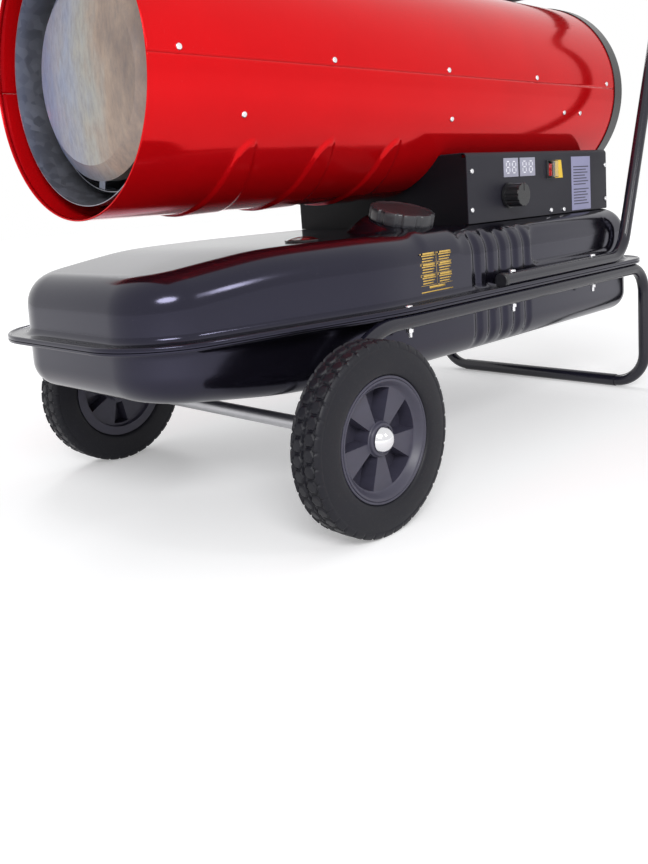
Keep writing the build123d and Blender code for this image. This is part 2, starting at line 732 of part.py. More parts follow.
def handle_end_caps():
    """Plastic plugs in the front ends of both handle tubes."""
    head = rod("Y", END_CAP_R, HANDLE_START - END_CAP, HANDLE_START, TUBE_X, HANDLE_Z)
    head = fillet(head.edges().filter_by(GeomType.CIRCLE).sort_by(Axis.Y)[0], END_CAP / 4)
    under = block((0, 2 * TUBE_X), (0, HANDLE_START), (FLANGE_BOTTOM, FLANGE_TOP))
    over_rim = block((FLANGE_HALF_W - RIM_BAND - FIT, 2 * TUBE_X), (0, HANDLE_START),
                     (FLANGE_TOP, FLANGE_TOP + RIM_RISE + FIT))
    plug_r = TUBE_R - TUBE_WALL - FIT
    plug = rod("Y", plug_r, HANDLE_START, HANDLE_START + END_CAP, TUBE_X, HANDLE_Z)
    return both_sides(drilled(head, [under, over_rim]).fuse(plug))


def bolt(top, y):
    """Round-headed bolt down through the flange and the frame tube."""
    low = FRAME_Z - TUBE_R - BOLT_TAIL
    head = rod("Z", BOLT_HEAD_R, top, top + BOLT_HEAD, TUBE_X, y)
    head = fillet(head.edges().sort_by(Axis.Z)[-1], BOLT_HEAD * 0.7)
    return head.fuse(rod("Z", BOLT_R, low, top, TUBE_X, y))


def nut(y):
    """Hexagon nut under the frame tube."""
    high = FRAME_Z - TUBE_R
    hexagon = extrude(Pos(TUBE_X, y, high - NUT) * RegularPolygon(NUT_R, 6), NUT)
    return hexagon - rod("Z", BOLT_R, high - NUT, high, TUBE_X, y)


def frame_fasteners():
    """Two handle bolts, one flange bolt and their nuts on each side."""
    right = [bolt(HANDLE_Z + TUBE_R, y) for y in HANDLE_BOLTS_Y] + [bolt(FLANGE_TOP, FRONT_BOLT_Y)]
    right += [nut(y) for y in (FRONT_BOLT_Y, *HANDLE_BOLTS_Y)]
    return right + [mirrored(piece) for piece in right]


# ---------------------------------------------------------------- wheels
def axle():
    """Plain steel axle through both frame eyes."""
    return rod("X", AXLE_R, -AXLE_HALF, AXLE_HALF, 0, WHEEL_R)


def axle_spacers():
    """Tube between each frame eye and its wheel."""
    start = TUBE_X + EYE_HALF
    end = WHEEL_X - HUB_IN - BUSH_FLANGE - GAP
    return both_sides(pipe("X", AXLE_R + 4, AXLE_R + FIT, start, end, 0, WHEEL_R))


def hub_caps():
    """Chrome domes pressed on the ends of the axle."""
    sphere_r = (CAP_R ** 2 + CAP_DOME ** 2) / (2 * CAP_DOME)
    rim_angle = atan2(CAP_R, sphere_r - CAP_DOME)
    middle = (CAP_DOME - sphere_r + sphere_r * cos(rim_angle / 2), sphere_r * sin(rim_angle / 2))
    arc = ThreePointArc((0, CAP_R), middle, (CAP_DOME, 0))
    face = make_face([Line((0, 0), (0, CAP_R)).edge(), arc.edge(), Line((CAP_DOME, 0), (0, 0)).edge()])
    dome = Pos(CAP_FOOT_X, 0, WHEEL_R) * revolve(face, axis=Axis.X)
    return both_sides(dome - rod("X", AXLE_R, CAP_FOOT_X - 1, AXLE_HALF, 0, WHEEL_R))


def tread_cuts():
    """Cross cuts in the tyre's shoulders, staggered from side to side."""
    floor = WHEEL_R - TREAD_DEPTH
    cuts = []
    for i in range(TREAD_BLOCKS):
        for side in SIDES:
            x = sorted((side * TREAD_W / 4, side * TYRE_W / 2))
            bar = block(x, (-TREAD_CUT / 2, TREAD_CUT / 2), (floor, WHEEL_R + 1))
            turn = (i + side / 4) * 360 / TREAD_BLOCKS
            cuts.append(Pos(WHEEL_X, 0, WHEEL_R) * Rot(turn, 0, 0) * bar)
    return cuts


def tyre():
    """Solid rubber tyre with a centre groove and cross cuts in its tread."""
    lip = RIM_W / 2 - RIM_LIP - FIT
    seat = RIM_WELL_R + FIT
    half = TYRE_W / 2
    groove = TREAD_GROOVE / 2
    floor = WHEEL_R - TREAD_DEPTH
    side = [
        (groove, floor),
        (groove, WHEEL_R),
        (TREAD_W / 2, WHEEL_R),
        (half - 3, WHEEL_R - 5),
        (half, WHEEL_R - 18),
        (half, RIM_R + 14),
        (RIM_W / 2 + 1, RIM_R + 1),
        (lip, RIM_R + 1),
        (lip, seat),
    ]
    other = [(-x, r) for x, r in reversed(side)]
    return drilled(turned_x(side + other, WHEEL_X), tread_cuts())


def rim():
    """Moulded wheel rim with wedge-shaped pockets between its spokes."""
    half = RIM_W / 2
    ring = turned_x([
        (-half, RIM_INNER_R),
        (-half, RIM_R),
        (-half + RIM_LIP, RIM_R),
        (-half + RIM_LIP, RIM_WELL_R),
        (half - RIM_LIP, RIM_WELL_R),
        (half - RIM_LIP, RIM_R),
        (half, RIM_R),
        (half, RIM_R - 7),
        (SPOKE_FRONT, RIM_INNER_R),
    ], WHEEL_X)
    web = rod("X", RIM_INNER_R + 2, WHEEL_X - SPOKE_BACK, WHEEL_X + SPOKE_FRONT, 0, WHEEL_R)
    hub = rod("X", HUB_R, WHEEL_X - HUB_IN, WHEEL_X + HUB_OUT, 0, WHEEL_R)
    pocket = pocket_wedge()
    drills = [Pos(WHEEL_X, 0, WHEEL_R) * Rot(90 + i * 360 / SPOKES, 0, 0) * pocket for i in range(SPOKES)]
    web = drilled(web, drills)
    bore = rod("X", AXLE_R + BUSH_WALL, WHEEL_X - HUB_IN, WHEEL_X + HUB_OUT, 0, WHEEL_R)
    return ring.fuse(web, hub) - bore


def pocket_wedge():
    """Pocket between two spokes, down to the web, centred on the wheel and pointing along +Y."""
    half_angle = (360 / SPOKES - SPOKE_ANGLE) / 2
    arc_in = Edge.make_circle(HUB_R, Plane.YZ, -half_angle, half_angle)
    arc_out = Edge.make_circle(RIM_INNER_R, Plane.YZ, -half_angle, half_angle)
    sides = [Line(arc_in @ 0, arc_out @ 0), Line(arc_in @ 1, arc_out @ 1)]
    face = make_face([arc_in, sides[0].edge(), arc_out, sides[1].edge()])
    return Pos(WEB_T - SPOKE_BACK, 0, 0) * extrude(face, RIM_W, dir=(1, 0, 0))


def bushes():
    """Flanged plastic bushes in both ends of the hub."""
    outer = AXLE_R + BUSH_WALL
    inner_end = WHEEL_X - HUB_IN
    outer_end = WHEEL_X + HUB_OUT
    flange = outer + 2
    out = pipe("X", outer, BORE_R, outer_end - BUSH_LENGTH, outer_end, 0, WHEEL_R).fuse(
        pipe("X", flange, BORE_R, outer_end, outer_end + BUSH_FLANGE, 0, WHEEL_R))
    back = pipe("X", outer, BORE_R, inner_end, inner_end + BUSH_LENGTH, 0, WHEEL_R).fuse(
        pipe("X", flange, BORE_R, inner_end - BUSH_FLANGE, inner_end, 0, WHEEL_R))
    return [out, back]


# ---------------------------------------------------------------- control box
def barrel_clearance():
    """The space that the barrel takes out of the box's plates."""
    return rod("Y", BARREL_R + FIT, BARREL_Y[0], BARREL_Y[1], 0, AXIS_Z)


def box_width():
    """Half width of the box inside its side panels."""
    return BOX_HALF_W - BOX_SHEET


def saddle_box():
    """Base plate on the tank with front and rear plates that cradle the barrel."""
    half = box_width()
    low = TANK_TOP
    high = BOX_TOP - BOX_SHEET
    pieces = [block((-half, half), BOX_Y, (low, low + BOX_SHEET))]
    for y, tab in ((BOX_Y[0], TAB_FRONT), (BOX_Y[1], -TAB_REAR)):
        sheet = BOX_SHEET if tab > 0 else -BOX_SHEET
        pieces.append(block((-half, half), sorted((y, y + sheet)), (low, high)))
        top = BOX_TOP - PANEL_BEND_R - BOX_SHEET
        for side in ((half - BOX_SHEET, half), (-half, BOX_SHEET - half)):
            pieces.append(block(side, sorted((y, y + tab)), (low, top)))
    body = joined(pieces)
    corner = BOX_TOP - PANEL_BEND_R
    relief = block((half - PANEL_BEND_R, half), BOX_Y, (corner, BOX_TOP))
    drills = [barrel_clearance(), relief, mirrored(relief)]
    for y, z in CORNER_SCREWS:
        drills.append(rod("X", SCREW_R + FIT, -BOX_HALF_W, BOX_HALF_W, y, z))
    drills.append(rod("Y", GLAND_R * 0.6 + FIT, BOX_Y[1] - 3, BOX_Y[1] + 3, *GLAND_AT))
    drills.append(rod("Z", HOSE_R + FIT, low - 1, low + 3, FUEL_X, FUEL_Y[0]))
    return drilled(body, drills)


def side_sheet():
    """Side panel with a rounded bend into the narrow shelf beside the barrel."""
    outer = BOX_HALF_W
    inner = box_width()
    line = Polyline(
        (inner, PANEL_BOTTOM),
        (outer, PANEL_BOTTOM),
        (outer, BOX_TOP),
        (SHELF_EDGE_X, BOX_TOP),
        (SHELF_EDGE_X, BOX_TOP - BOX_SHEET),
        (inner, BOX_TOP - BOX_SHEET),
        close=True,
    )
    face = make_face(line)
    corners = face.vertices().sort_by(lambda v: abs(v.X - outer) + abs(v.Y - BOX_TOP))
    face = fillet(corners[0], PANEL_BEND_R)
    corners = face.vertices().sort_by(lambda v: abs(v.X - inner) + abs(v.Y - BOX_TOP + BOX_SHEET))
    face = fillet(corners[0], PANEL_BEND_R - BOX_SHEET)
    sheet = extrude(Plane(origin=(0, BOX_Y[1], 0), x_dir=(1, 0, 0), z_dir=(0, -1, 0)) * face,
                    BOX_Y[1] - BOX_Y[0])
    screws = [rod("X", SCREW_R + FIT, inner - 1, outer + 1, y, z) for y, z in CORNER_SCREWS]
    return drilled(sheet, screws)


def control_panel():
    """Side panel on the control side with its cut-outs."""
    near, far = box_width() - 1, BOX_HALF_W + 1
    drills = [rod("X", SCREW_R + FIT, near, far, y, z) for y, z in BRACKET_SCREWS]
    for y in DISPLAY_Y:
        drills.append(block((near, far), (y[0] - FIT, y[1] + FIT), (DISPLAY_Z[0] - FIT, DISPLAY_Z[1] + FIT)))
    y, z = SWITCH_AT
    wide, tall = SWITCH_BODY[0] / 2 + FIT, SWITCH_BODY[1] / 2 + FIT
    drills.append(block((near, far), (y - wide, y + wide), (z - tall, z + tall)))
    drills.append(rod("X", BUSHING_R + FIT, near, far, *KNOB_AT))
    return drilled(side_sheet(), drills)


def side_panel():
    """Plain panel on the far side."""
    return mirrored(side_sheet())


def display_modules():
    """Two numeric displays that stand slightly proud of the panel."""
    x = (BOX_HALF_W - DISPLAY_DEPTH, BOX_HALF_W + DISPLAY_PROUD)
    return [block(x, y, DISPLAY_Z) for y in DISPLAY_Y]


def switch_rocker_x():
    """X of the rocker's pivot."""
    return BOX_HALF_W - 5


def switch_housing():
    """Bezel and body of the mains switch, hollow for its rocker."""
    y, z = SWITCH_AT
    face = BOX_HALF_W
    bezel = block((face, face + SWITCH_BEZEL_T), (y - SWITCH_BEZEL[0] / 2, y + SWITCH_BEZEL[0] / 2),
                  (z - SWITCH_BEZEL[1] / 2, z + SWITCH_BEZEL[1] / 2))
    body = block((face - SWITCH_DEPTH, face), (y - SWITCH_BODY[0] / 2, y + SWITCH_BODY[0] / 2),
                 (z - SWITCH_BODY[1] / 2, z + SWITCH_BODY[1] / 2))
    wide, tall = ROCKER_HALF_W + GAP, ROCKER_HALF_H + 2
    well = block((switch_rocker_x() - 8, face + SWITCH_BEZEL_T), (y - wide, y + wide), (z - tall, z + tall))
    pins = rod("Y", PIVOT_R + RUN, y - wide - 2, y + wide + 2, switch_rocker_x(), z)
    return drilled(bezel.fuse(body), [well, pins])


def switch_rocker():
    """Red rocker on its two side pins, tipped to its off position."""
    y, z = SWITCH_AT
    x = switch_rocker_x()
    half = ROCKER_HALF_H
    face = make_face(Polyline((-3, half - 2), (6, half), (3.5, 0), (6, -half), (-3, 2 - half), close=True))
    plane = Plane(origin=(x, y - ROCKER_HALF_W, z), x_dir=(1, 0, 0), z_dir=(0, -1, 0))
    lever = Pos(0, 2 * ROCKER_HALF_W, 0) * extrude(plane * face, 2 * ROCKER_HALF_W)
    pin_half = ROCKER_HALF_W + 1.5
    lever = lever.fuse(rod("Y", PIVOT_R, y - pin_half, y + pin_half, x, z))
    return lever.rotate(Axis((x, y, z), (0, 1, 0)), ROCKER_TILT)


def switch_cover():
    """Clear splash cover over the rocker."""
    y, z = SWITCH_AT
    foot = BOX_HALF_W + SWITCH_BEZEL_T
    wide, tall = SWITCH_BEZEL[0] / 2 - 1, SWITCH_BEZEL[1] / 2 - 1
    shell = block((foot, foot + COVER_RISE), (y - wide, y + wide), (z - tall, z + tall))
    shell = fillet(shell.edges().sort_by(Axis.X)[-4:], 2 * COVER_WALL)
    wide, tall = wide - COVER_WALL, tall - COVER_WALL
    inside = block((foot - 1, foot + COVER_RISE - COVER_WALL), (y - wide, y + wide), (z - tall, z + tall))
    return shell - inside


def thermostat_body():
    """Thermostat behind the panel with its bushing and nut."""
    y, z = KNOB_AT
    back = box_width()
    can = rod("X", CAN_R, back - CAN_DEPTH, back, y, z)
    thread = rod("X", BUSHING_R, back, BOX_HALF_W + BUSHING_NUT, y, z)
    ring = rod("X", 1.5 * BUSHING_R, BOX_HALF_W, BOX_HALF_W + BUSHING_NUT, y, z)
    bore = rod("X", KNOB_SHAFT_R + RUN, back - CAN_DEPTH / 2, BOX_HALF_W + BUSHING_NUT, y, z)
    return can.fuse(thread, ring) - bore


def thermostat_knob():
    """Fluted knob with its shaft and a pointer groove."""
    y, z = KNOB_AT
    foot = BOX_HALF_W + BUSHING_NUT + GAP
    end = foot + KNOB_LENGTH
    grip = rod("X", KNOB_R, foot, end, y, z)
    grip = fillet(grip.edges().sort_by(Axis.X)[-1], 1.5)
    skirt = rod("X", KNOB_SKIRT_R, foot, foot + 4, y, z)
    turns = [i * 360 / KNOB_FLUTES for i in range(KNOB_FLUTES)]
    flute = Pos(KNOB_LENGTH / 2 + 4, 0, KNOB_R + 1.2) * Rot(0, 90, 0) * Cylinder(2.6, KNOB_LENGTH)
    grip = drilled(grip, [Pos(foot, y, z) * Rot(turn, 0, 0) * flute for turn in turns])
    shaft = rod("X", KNOB_SHAFT_R, box_width() - CAN_DEPTH / 2 + 1, foot, y, z)
    pointer = block((end - 1, end + 1), (y - 1, y + 1), (z + KNOB_R / 3, z + KNOB_R + 1))
    return grip.fuse(skirt, shaft) - pointer


def data_plate():
    """Thin blank plate on the control panel."""
    return block((BOX_HALF_W, BOX_HALF_W + PLATE_T), PLATE_Y, PLATE_Z)


def control_board():
    """Circuit board on standoffs behind the panel, with its larger parts."""
    x = BOARD_X
    low = BOARD_Z[0] + STANDOFF_INSET
    pieces = [block((x, x + BOARD_T), BOARD_Y, BOARD_Z)]
    for y in (BOARD_Y[0] + STANDOFF_INSET, BOARD_Y[1] - STANDOFF_INSET):
        for z in (low, BOARD_Z[1] - STANDOFF_INSET / 2):
            pieces.append(rod("X", STANDOFF_R, x + BOARD_T, box_width(), y, z))
    wide, tall = RELAY
    for i in range(RELAY_COUNT):
        y = BOARD_Y[0] + PART_PITCH * (i + 1)
        pieces.append(block((x - RELAY_T, x), (y, y + wide), (low, low + tall)))
    for i in range(CAPACITOR_COUNT):
        y = BOARD_Y[1] - PART_PITCH * (i + 1)
        pieces.append(rod("X", CAPACITOR_R, x - CAPACITOR_T, x, y, low + tall / 2))
    terminal_z = (MOTOR_LEAD_Z - tall / 2, MOTOR_LEAD_Z + tall / 2)
    pieces.append(block((x - RELAY_T, x), (BOARD_Y[1] - wide, BOARD_Y[1]), terminal_z))
    return joined(pieces)


def ignition_transformer():
    """Spark transformer on the base plate, on a bracket screwed to the panel."""
    x, y = TRANSFORMER_X, TRANSFORMER_Y
    long, wide, tall = TRANSFORMER
    low = TANK_TOP + BOX_SHEET
    body = block((x, x + long), (y, y + wide), (low, low + tall))
    reach = box_width()
    foot_y = (BRACKET_SCREWS[0][0] - 9, BRACKET_SCREWS[1][0] + 9)
    foot = block((x, reach), (y, foot_y[1]), (low, low + BOX_SHEET))
    flange = block((reach - BOX_SHEET, reach), foot_y, (low, BRACKET_SCREWS[0][1] + 8))
    drills = [rod("X", SCREW_R + FIT, reach - 3, reach + 1, sy, sz) for sy, sz in BRACKET_SCREWS]
    return drilled(body.fuse(foot, flange), drills)


def power_inlet():
    """Cable gland through the box's rear plate."""
    x, z = GLAND_AT
    face = BOX_Y[1]
    thread = rod("Y", GLAND_R * 0.6, face - GLAND_REACH, face, x, z)
    plane = Plane(origin=(x, face, z), z_dir=(0, 1, 0))
    hexagon = extrude(plane * RegularPolygon(GLAND_R, 6), GLAND_LENGTH / 3)
    dome = rod("Y", GLAND_R * 0.85, face, face + GLAND_LENGTH, x, z)
    dome = fillet(dome.edges().sort_by(Axis.Y)[-1], 3)
    return thread.fuse(hexagon, dome) - rod("Y", 5, face - GLAND_REACH, face + GLAND_LENGTH, x, z)


# ---------------------------------------------------------------- barrel
def half_space(upper):
    """Block that holds everything above or below the barrel's seam."""
    reach = 2 * BARREL_R
    z = (AXIS_Z + SEAM, AXIS_Z + reach) if upper else (AXIS_Z - reach, AXIS_Z)
    return block((-reach, reach), (BARREL_Y[0] - reach, BARREL_Y[1] + reach), z)


def louvre(y):
    """Raised pressing round the underside, steep at the front and falling slowly to the rear."""
    inner = BARREL_R - BARREL_WALL / 2
    top = BARREL_R + LOUVRE_RISE
    tail = BARREL_R + LOUVRE_TAIL
    rear = y + LOUVRE_WIDTH
    section = make_face(Polyline((inner, y), (top, y + LOUVRE_STEP), (tail, rear), (inner, rear), close=True))
    wedge = Pos(0, 0, AXIS_Z) * revolve(section, axis=Axis.Y)
    near, far = LOUVRE_END
    right = [(0, y), (LOUVRE_SHOULDER_X, y), (LOUVRE_HALF_X, y + near), (LOUVRE_HALF_X, y + far), (0, rear)]
    left = [(-x, along) for x, along in reversed(right[1:-1])]
    plan = make_face(Polyline(*right, *left, close=True))
    return wedge & extrude(Pos(0, 0, AXIS_Z - 2 * BARREL_R) * plan, 2 * BARREL_R)


def screw_places():
    """(y, angle) of every screw in the barrel."""
    places = []
    for y in SIDE_SCREWS_Y:
        places += [(y, SIDE_SCREW_ANGLE), (y, 180 - SIDE_SCREW_ANGLE), (y, 90)]
    for y in MOTOR_SCREWS_Y:
        places += [(y, MOTOR_SCREW_ANGLE), (y, 180 - MOTOR_SCREW_ANGLE), (y, 90)]
    start, end = BARREL_Y[0] + 45, BARREL_Y[1] - 60
    lift = degrees(SEAM_SCREW_LIFT / BARREL_R)
    for i in range(SEAM_SCREW_COUNT):
        y = start + (end - start) * i / (SEAM_SCREW_COUNT - 1)
        places += [(y, lift), (y, 180 - lift)]
    return places


def radial_rod(radius, start, end, y, angle):
    """Round bar that points out from the barrel's axis."""
    bar = rod("X", radius, start, end, y, 0)
    return Pos(0, 0, AXIS_Z) * Rot(0, -angle, 0) * bar


def barrel_drills():
    """Holes for every screw in the barrel."""
    return [radial_rod(SCREW_R + FIT, BARREL_R - 8, BARREL_R + 4, y, angle) for y, angle in screw_places()]


def barrel_lower_shell():
    """Lower half of the barrel with pressed ribs and the lips that the upper half laps over."""
    shell = barrel_ring(BARREL_R, BARREL_R - BARREL_WALL, BARREL_Y) & half_space(False)
    lip = barrel_ring(BARREL_R - BARREL_WALL, BARREL_R - 2 * BARREL_WALL,
                      (BARREL_Y[0] + RING_W, BARREL_Y[1] - RING_W))
    band = block((-BARREL_R, BARREL_R), BARREL_Y, (AXIS_Z - LIP_HEIGHT, AXIS_Z + LIP_HEIGHT))
    pieces = [shell, lip & band]
    pieces += [louvre(LOUVRE_FIRST + LOUVRE_PITCH * i) for i in range(LOUVRE_COUNT)]
    low = AXIS_Z - BARREL_R - LOUVRE_RISE
    high = AXIS_Z - BARREL_R / 2
    drills = barrel_drills()
    drills += [rod("Z", HOSE_R + HOLE_MARGIN, low, high, x, y) for x, y in HOSE_HOLES]
    drills += [rod("Z", LEAD_R + HOLE_MARGIN, low, high, x, y) for x, y in LEAD_HOLES]
    return drilled(joined(pieces), drills)


def barrel_upper_shell():
    """Upper half of the barrel."""
    shell = barrel_ring(BARREL_R, BARREL_R - BARREL_WALL, BARREL_Y) & half_space(True)
    return drilled(shell, barrel_drills())


def screw_along_x(y, z, x):
    """Pan-head screw driven into the control box from the side."""
    head = rod("X", SCREW_HEAD_R, x, x + SCREW_HEAD, y, z)
    head = fillet(head.edges().sort_by(Axis.X)[-1], SCREW_HEAD * 0.7)
    return head.fuse(rod("X", SCREW_R, x - SCREW_LENGTH, x, y, z))


def housing_screws():
    """All the pan-head screws of the control box and the barrel."""
    box = [screw_along_x(y, z, BOX_HALF_W) for y, z in CORNER_SCREWS]
    far = [mirrored(screw) for screw in box]
    box += [screw_along_x(y, z, BOX_HALF_W) for y, z in BRACKET_SCREWS]
    single = screw_along_x(0, 0, BARREL_R)
    barrel = []
    for y, angle in screw_places():
        barrel.append(Pos(0, y, AXIS_Z) * Rot(0, -angle, 0) * single)
    return box + far + barrel


def rear_guard():
    """Rim band round the barrel's rear end with the wire guard welded in it."""
    rear = BARREL_Y[1]
    outer = BARREL_R + RING_T
    band = barrel_ring(outer, BARREL_R + FIT, (rear - RING_W, rear))
    turn = barrel_ring(outer, outer - RING_TURN, (rear, rear + RING_T))
    pieces = [band, turn]
    spoke_y = rear + RING_T / 2
    count = int((outer - RING_TURN - GUARD_HUB_R) / GUARD_PITCH)
    for i in range(count + 1):
        ring = Torus(GUARD_HUB_R + i * GUARD_PITCH, GUARD_WIRE_R)
        pieces.append(Pos(0, spoke_y - GUARD_STEP, AXIS_Z) * Rot(90, 0, 0) * ring)
    for i in range(GUARD_SPOKES):
        angle = (i + 0.5) * 360 / GUARD_SPOKES
        reach = outer - RING_TURN / 2
        pieces.append(radial_rod(GUARD_WIRE_R, GUARD_HUB_R - GUARD_PITCH / 2, reach, spoke_y, angle))
    return joined(pieces)


# ---------------------------------------------------------------- hot end
def flat_reach(width):
    """Radius of a flat foot of this width that just meets the inside of the barrel."""
    return sqrt((BARREL_R - BARREL_WALL - FIT) ** 2 - (width / 2) ** 2)


def liner_bracket(y, angle):
    """U-shaped bracket between the liner and the barrel, drilled for its screw."""
    reach = flat_reach(BRACKET_W)
    half = BRACKET_W
    top = spoke_block(angle, (reach - BRACKET_T, reach), BRACKET_W, (y - half, y + half))
    inner = LINER_R - LINER_WALL / 2
    walls = []
    for side in SIDES:
        ends = sorted((y + side * half, y + side * (half - BRACKET_T)))
        walls.append(spoke_block(angle, (inner, reach), BRACKET_W, ends))
    return top.fuse(*walls) - radial_rod(SCREW_R + FIT, reach - SCREW_LENGTH, reach + 1, y, angle)


def liner():
    """Inner heat shield with brackets that space it from the barrel."""
    shell = barrel_ring(LINER_R, LINER_R - LINER_WALL, LINER_Y)
    angles = (SIDE_SCREW_ANGLE, 180 - SIDE_SCREW_ANGLE, 90)
    return joined([shell, *[liner_bracket(y, angle) for y in SIDE_SCREWS_Y for angle in angles]])


def combustion_chamber():
    """Steel drum with a rear plate for the burner and stays to the liner."""
    wall = CHAMBER_WALL
    front, rear = CHAMBER_Y
    drum = turned_y([
        (CHAMBER_R, front),
        (CHAMBER_R, rear),
        (CHAMBER_HOLE_R, rear),
        (CHAMBER_HOLE_R, rear - wall),
        (CHAMBER_R - wall, rear - wall),
        (CHAMBER_R - wall, front),
    ])
    pieces = [drum]
    for y in SIDE_SCREWS_Y:
        for angle in (-90, 30, 150):
            radii = (CHAMBER_R - wall / 2, LINER_R - LINER_WALL - FIT)
            pieces.append(spoke_block(angle, radii, BRACKET_W, (y - 1, y + 1)))
    return joined(pieces)


def deflector():
    """Domed disc with a flared rim that turns the flame outwards, on four straps."""
    t = DEFLECTOR_WALL
    skirt = DEFLECTOR_RIM_Y + DEFLECTOR_SKIRT
    crown = DEFLECTOR_FACE_Y - DEFLECTOR_CROWN
    dish = turned_y([
        (0, crown),
        (DEFLECTOR_FACE_R / 2, crown + DEFLECTOR_CROWN * 0.25),
        (DEFLECTOR_FACE_R, DEFLECTOR_FACE_Y),
        (DEFLECTOR_RIM_R, DEFLECTOR_RIM_Y),
        (DEFLECTOR_RIM_R, skirt),
        (DEFLECTOR_RIM_R - t, skirt),
        (DEFLECTOR_RIM_R - t, DEFLECTOR_RIM_Y + t),
        (DEFLECTOR_FACE_R, DEFLECTOR_FACE_Y + t),
        (DEFLECTOR_FACE_R / 2, crown + DEFLECTOR_CROWN * 0.25 + t),
        (0, crown + t),
    ])
    reach = CHAMBER_R - CHAMBER_WALL - FIT
    pieces = [dish]
    for angle in STRAP_ANGLES:
        arm_y = (skirt - 2 * t, skirt - t)
        pieces.append(spoke_block(angle, (DEFLECTOR_RIM_R - t, reach), STRAP_W, arm_y))
        foot_y = (skirt - 2 * t, skirt + STRAP_W)
        pieces.append(spoke_block(angle, (reach - t, reach), STRAP_W, foot_y))
    return joined(pieces)


def burner_head():
    """Air-swirl plate on the chamber's rear with a hole for the nozzle."""
    rear = CHAMBER_Y[1]
    plate = rod("Y", BURNER_R, rear, rear + BURNER_T, 0, AXIS_Z)
    end = rear + BURNER_T
    collar = pipe("Y", ADAPTER_R + 3, ADAPTER_R + FIT, end, end + ADAPTER_SHANK - FIT, 0, AXIS_Z)
    drills = [rod("Y", NOZZLE_R + 4, rear - 1, rear + BURNER_T + 1, 0, AXIS_Z)]
    for i in range(BURNER_SLOTS):
        angle = i * 360 / BURNER_SLOTS
        drills.append(spoke_block(angle, (ADAPTER_R + 8, BURNER_R - 10), 7, (rear - 1, rear + BURNER_T + 1)))
    for x in (-ELECTRODE_X, ELECTRODE_X):
        drills.append(rod("Y", CERAMIC_R + FIT, rear - 1, rear + BURNER_T + 1, x, AXIS_Z + ELECTRODE_Z))
    return drilled(plate.fuse(collar), drills)


def nozzle():
    """Brass atomising nozzle with the adapter block that its lines join."""
    rear = CHAMBER_Y[1] + BURNER_T
    shank = rod("Y", ADAPTER_R, rear, rear + ADAPTER_SHANK, 0, AXIS_Z)
    half = (-ADAPTER_HALF, ADAPTER_HALF)
    body = block(half, (rear + ADAPTER_SHANK, rear + ADAPTER_LENGTH), (AXIS_Z + half[0], AXIS_Z + half[1]))
    tip = rod("Y", NOZZLE_R, rear - NOZZLE_REACH, rear, 0, AXIS_Z)
    tip = chamfer(tip.edges().filter_by(GeomType.CIRCLE).sort_by(Axis.Y)[0], NOZZLE_R / 2)
    return shank.fuse(body, tip)


def electrodes():
    """Two ceramic spark electrodes with bent wire tips."""
    rear = CHAMBER_Y[1]
    z = AXIS_Z + ELECTRODE_Z
    sleeve = rod("Y", CERAMIC_R, rear - 14, rear + CERAMIC_TAIL, ELECTRODE_X, z)
    route = [(ELECTRODE_X, rear - 13, z), (ELECTRODE_X, rear - 24, z), (3, rear - 32, z - 18)]
    return both_sides(sleeve.fuse(bent_bar(route, [4], SPARK_WIRE_R)))


# ---------------------------------------------------------------- motor, fan and pump
def motor():
    """Motor can with end bands, a terminal block and a bore for its shaft."""
    start, end = MOTOR_Y
    can = rod("Y", MOTOR_R - MOTOR_BAND, start, end, 0, AXIS_Z)
    places = (start, end - MOTOR_BAND_W)
    bands = [barrel_ring(MOTOR_R, MOTOR_R - 2 * MOTOR_BAND, (y, y + MOTOR_BAND_W)) for y in places]
    seat = barrel_ring(MOTOR_R, MOTOR_R - 2 * MOTOR_BAND, CLAMP_Y)
    x, y = MOTOR_LEAD
    terminal = block((x - 8, x + 8), (y - 10, y + 10), (AXIS_Z - MOTOR_R - 2, AXIS_Z - MOTOR_R / 2))
    return joined([can, *bands, seat, terminal]) - rod("Y", SHAFT_R + RUN, start, end, 0, AXIS_Z)


def motor_bracket():
    """Clamp round the motor with three arms screwed to the barrel."""
    reach = flat_reach(FOOT_W)
    pieces = [barrel_ring(MOTOR_R + CLAMP_T, MOTOR_R, CLAMP_Y)]
    drills = []
    for angle in (MOTOR_SCREW_ANGLE, 180 - MOTOR_SCREW_ANGLE, 90):
        pieces.append(spoke_block(angle, (MOTOR_R + CLAMP_T / 2, reach - ARM_T / 2), ARM_T, CLAMP_Y))
        pieces.append(spoke_block(angle, (reach - ARM_T, reach), FOOT_W, CLAMP_Y))
        for y in MOTOR_SCREWS_Y:
            drills.append(radial_rod(SCREW_R + FIT, reach - SCREW_LENGTH, reach + 1, y, angle))
    return drilled(joined(pieces), drills)


def motor_shaft():
    """Steel shaft from the fan through the motor to the pump."""
    return rod("Y", SHAFT_R, SHAFT_Y[0], SHAFT_Y[1], 0, AXIS_Z)


def fan_blade():
    """One flat pitched blade that widens towards its tip."""
    root = FAN_HUB_R / 2
    outline = Polyline((root, -root), (FAN_R + root, -FAN_CHORD / 2), (FAN_R + root, FAN_CHORD / 2),
                       (root, root), close=True)
    flat = extrude(Plane.XZ * make_face(outline), FAN_BLADE_T / 2, both=True)
    return (Rot(FAN_PITCH, 0, 0) * flat) & rod("Y", FAN_R, -FAN_CHORD, FAN_CHORD)


def fan():
    """Axial fan with pitched blades on a solid hub."""
    middle = sum(FAN_Y) / 2
    hub = rod("Y", FAN_HUB_R, FAN_Y[0], FAN_Y[1], 0, AXIS_Z)
    blade = fan_blade()
    blades = [Pos(0, middle, AXIS_Z) * Rot(0, i * 360 / FAN_BLADES, 0) * blade for i in range(FAN_BLADES)]
    return joined([hub, *blades]) - rod("Y", SHAFT_R, FAN_Y[0], FAN_Y[1], 0, AXIS_Z)


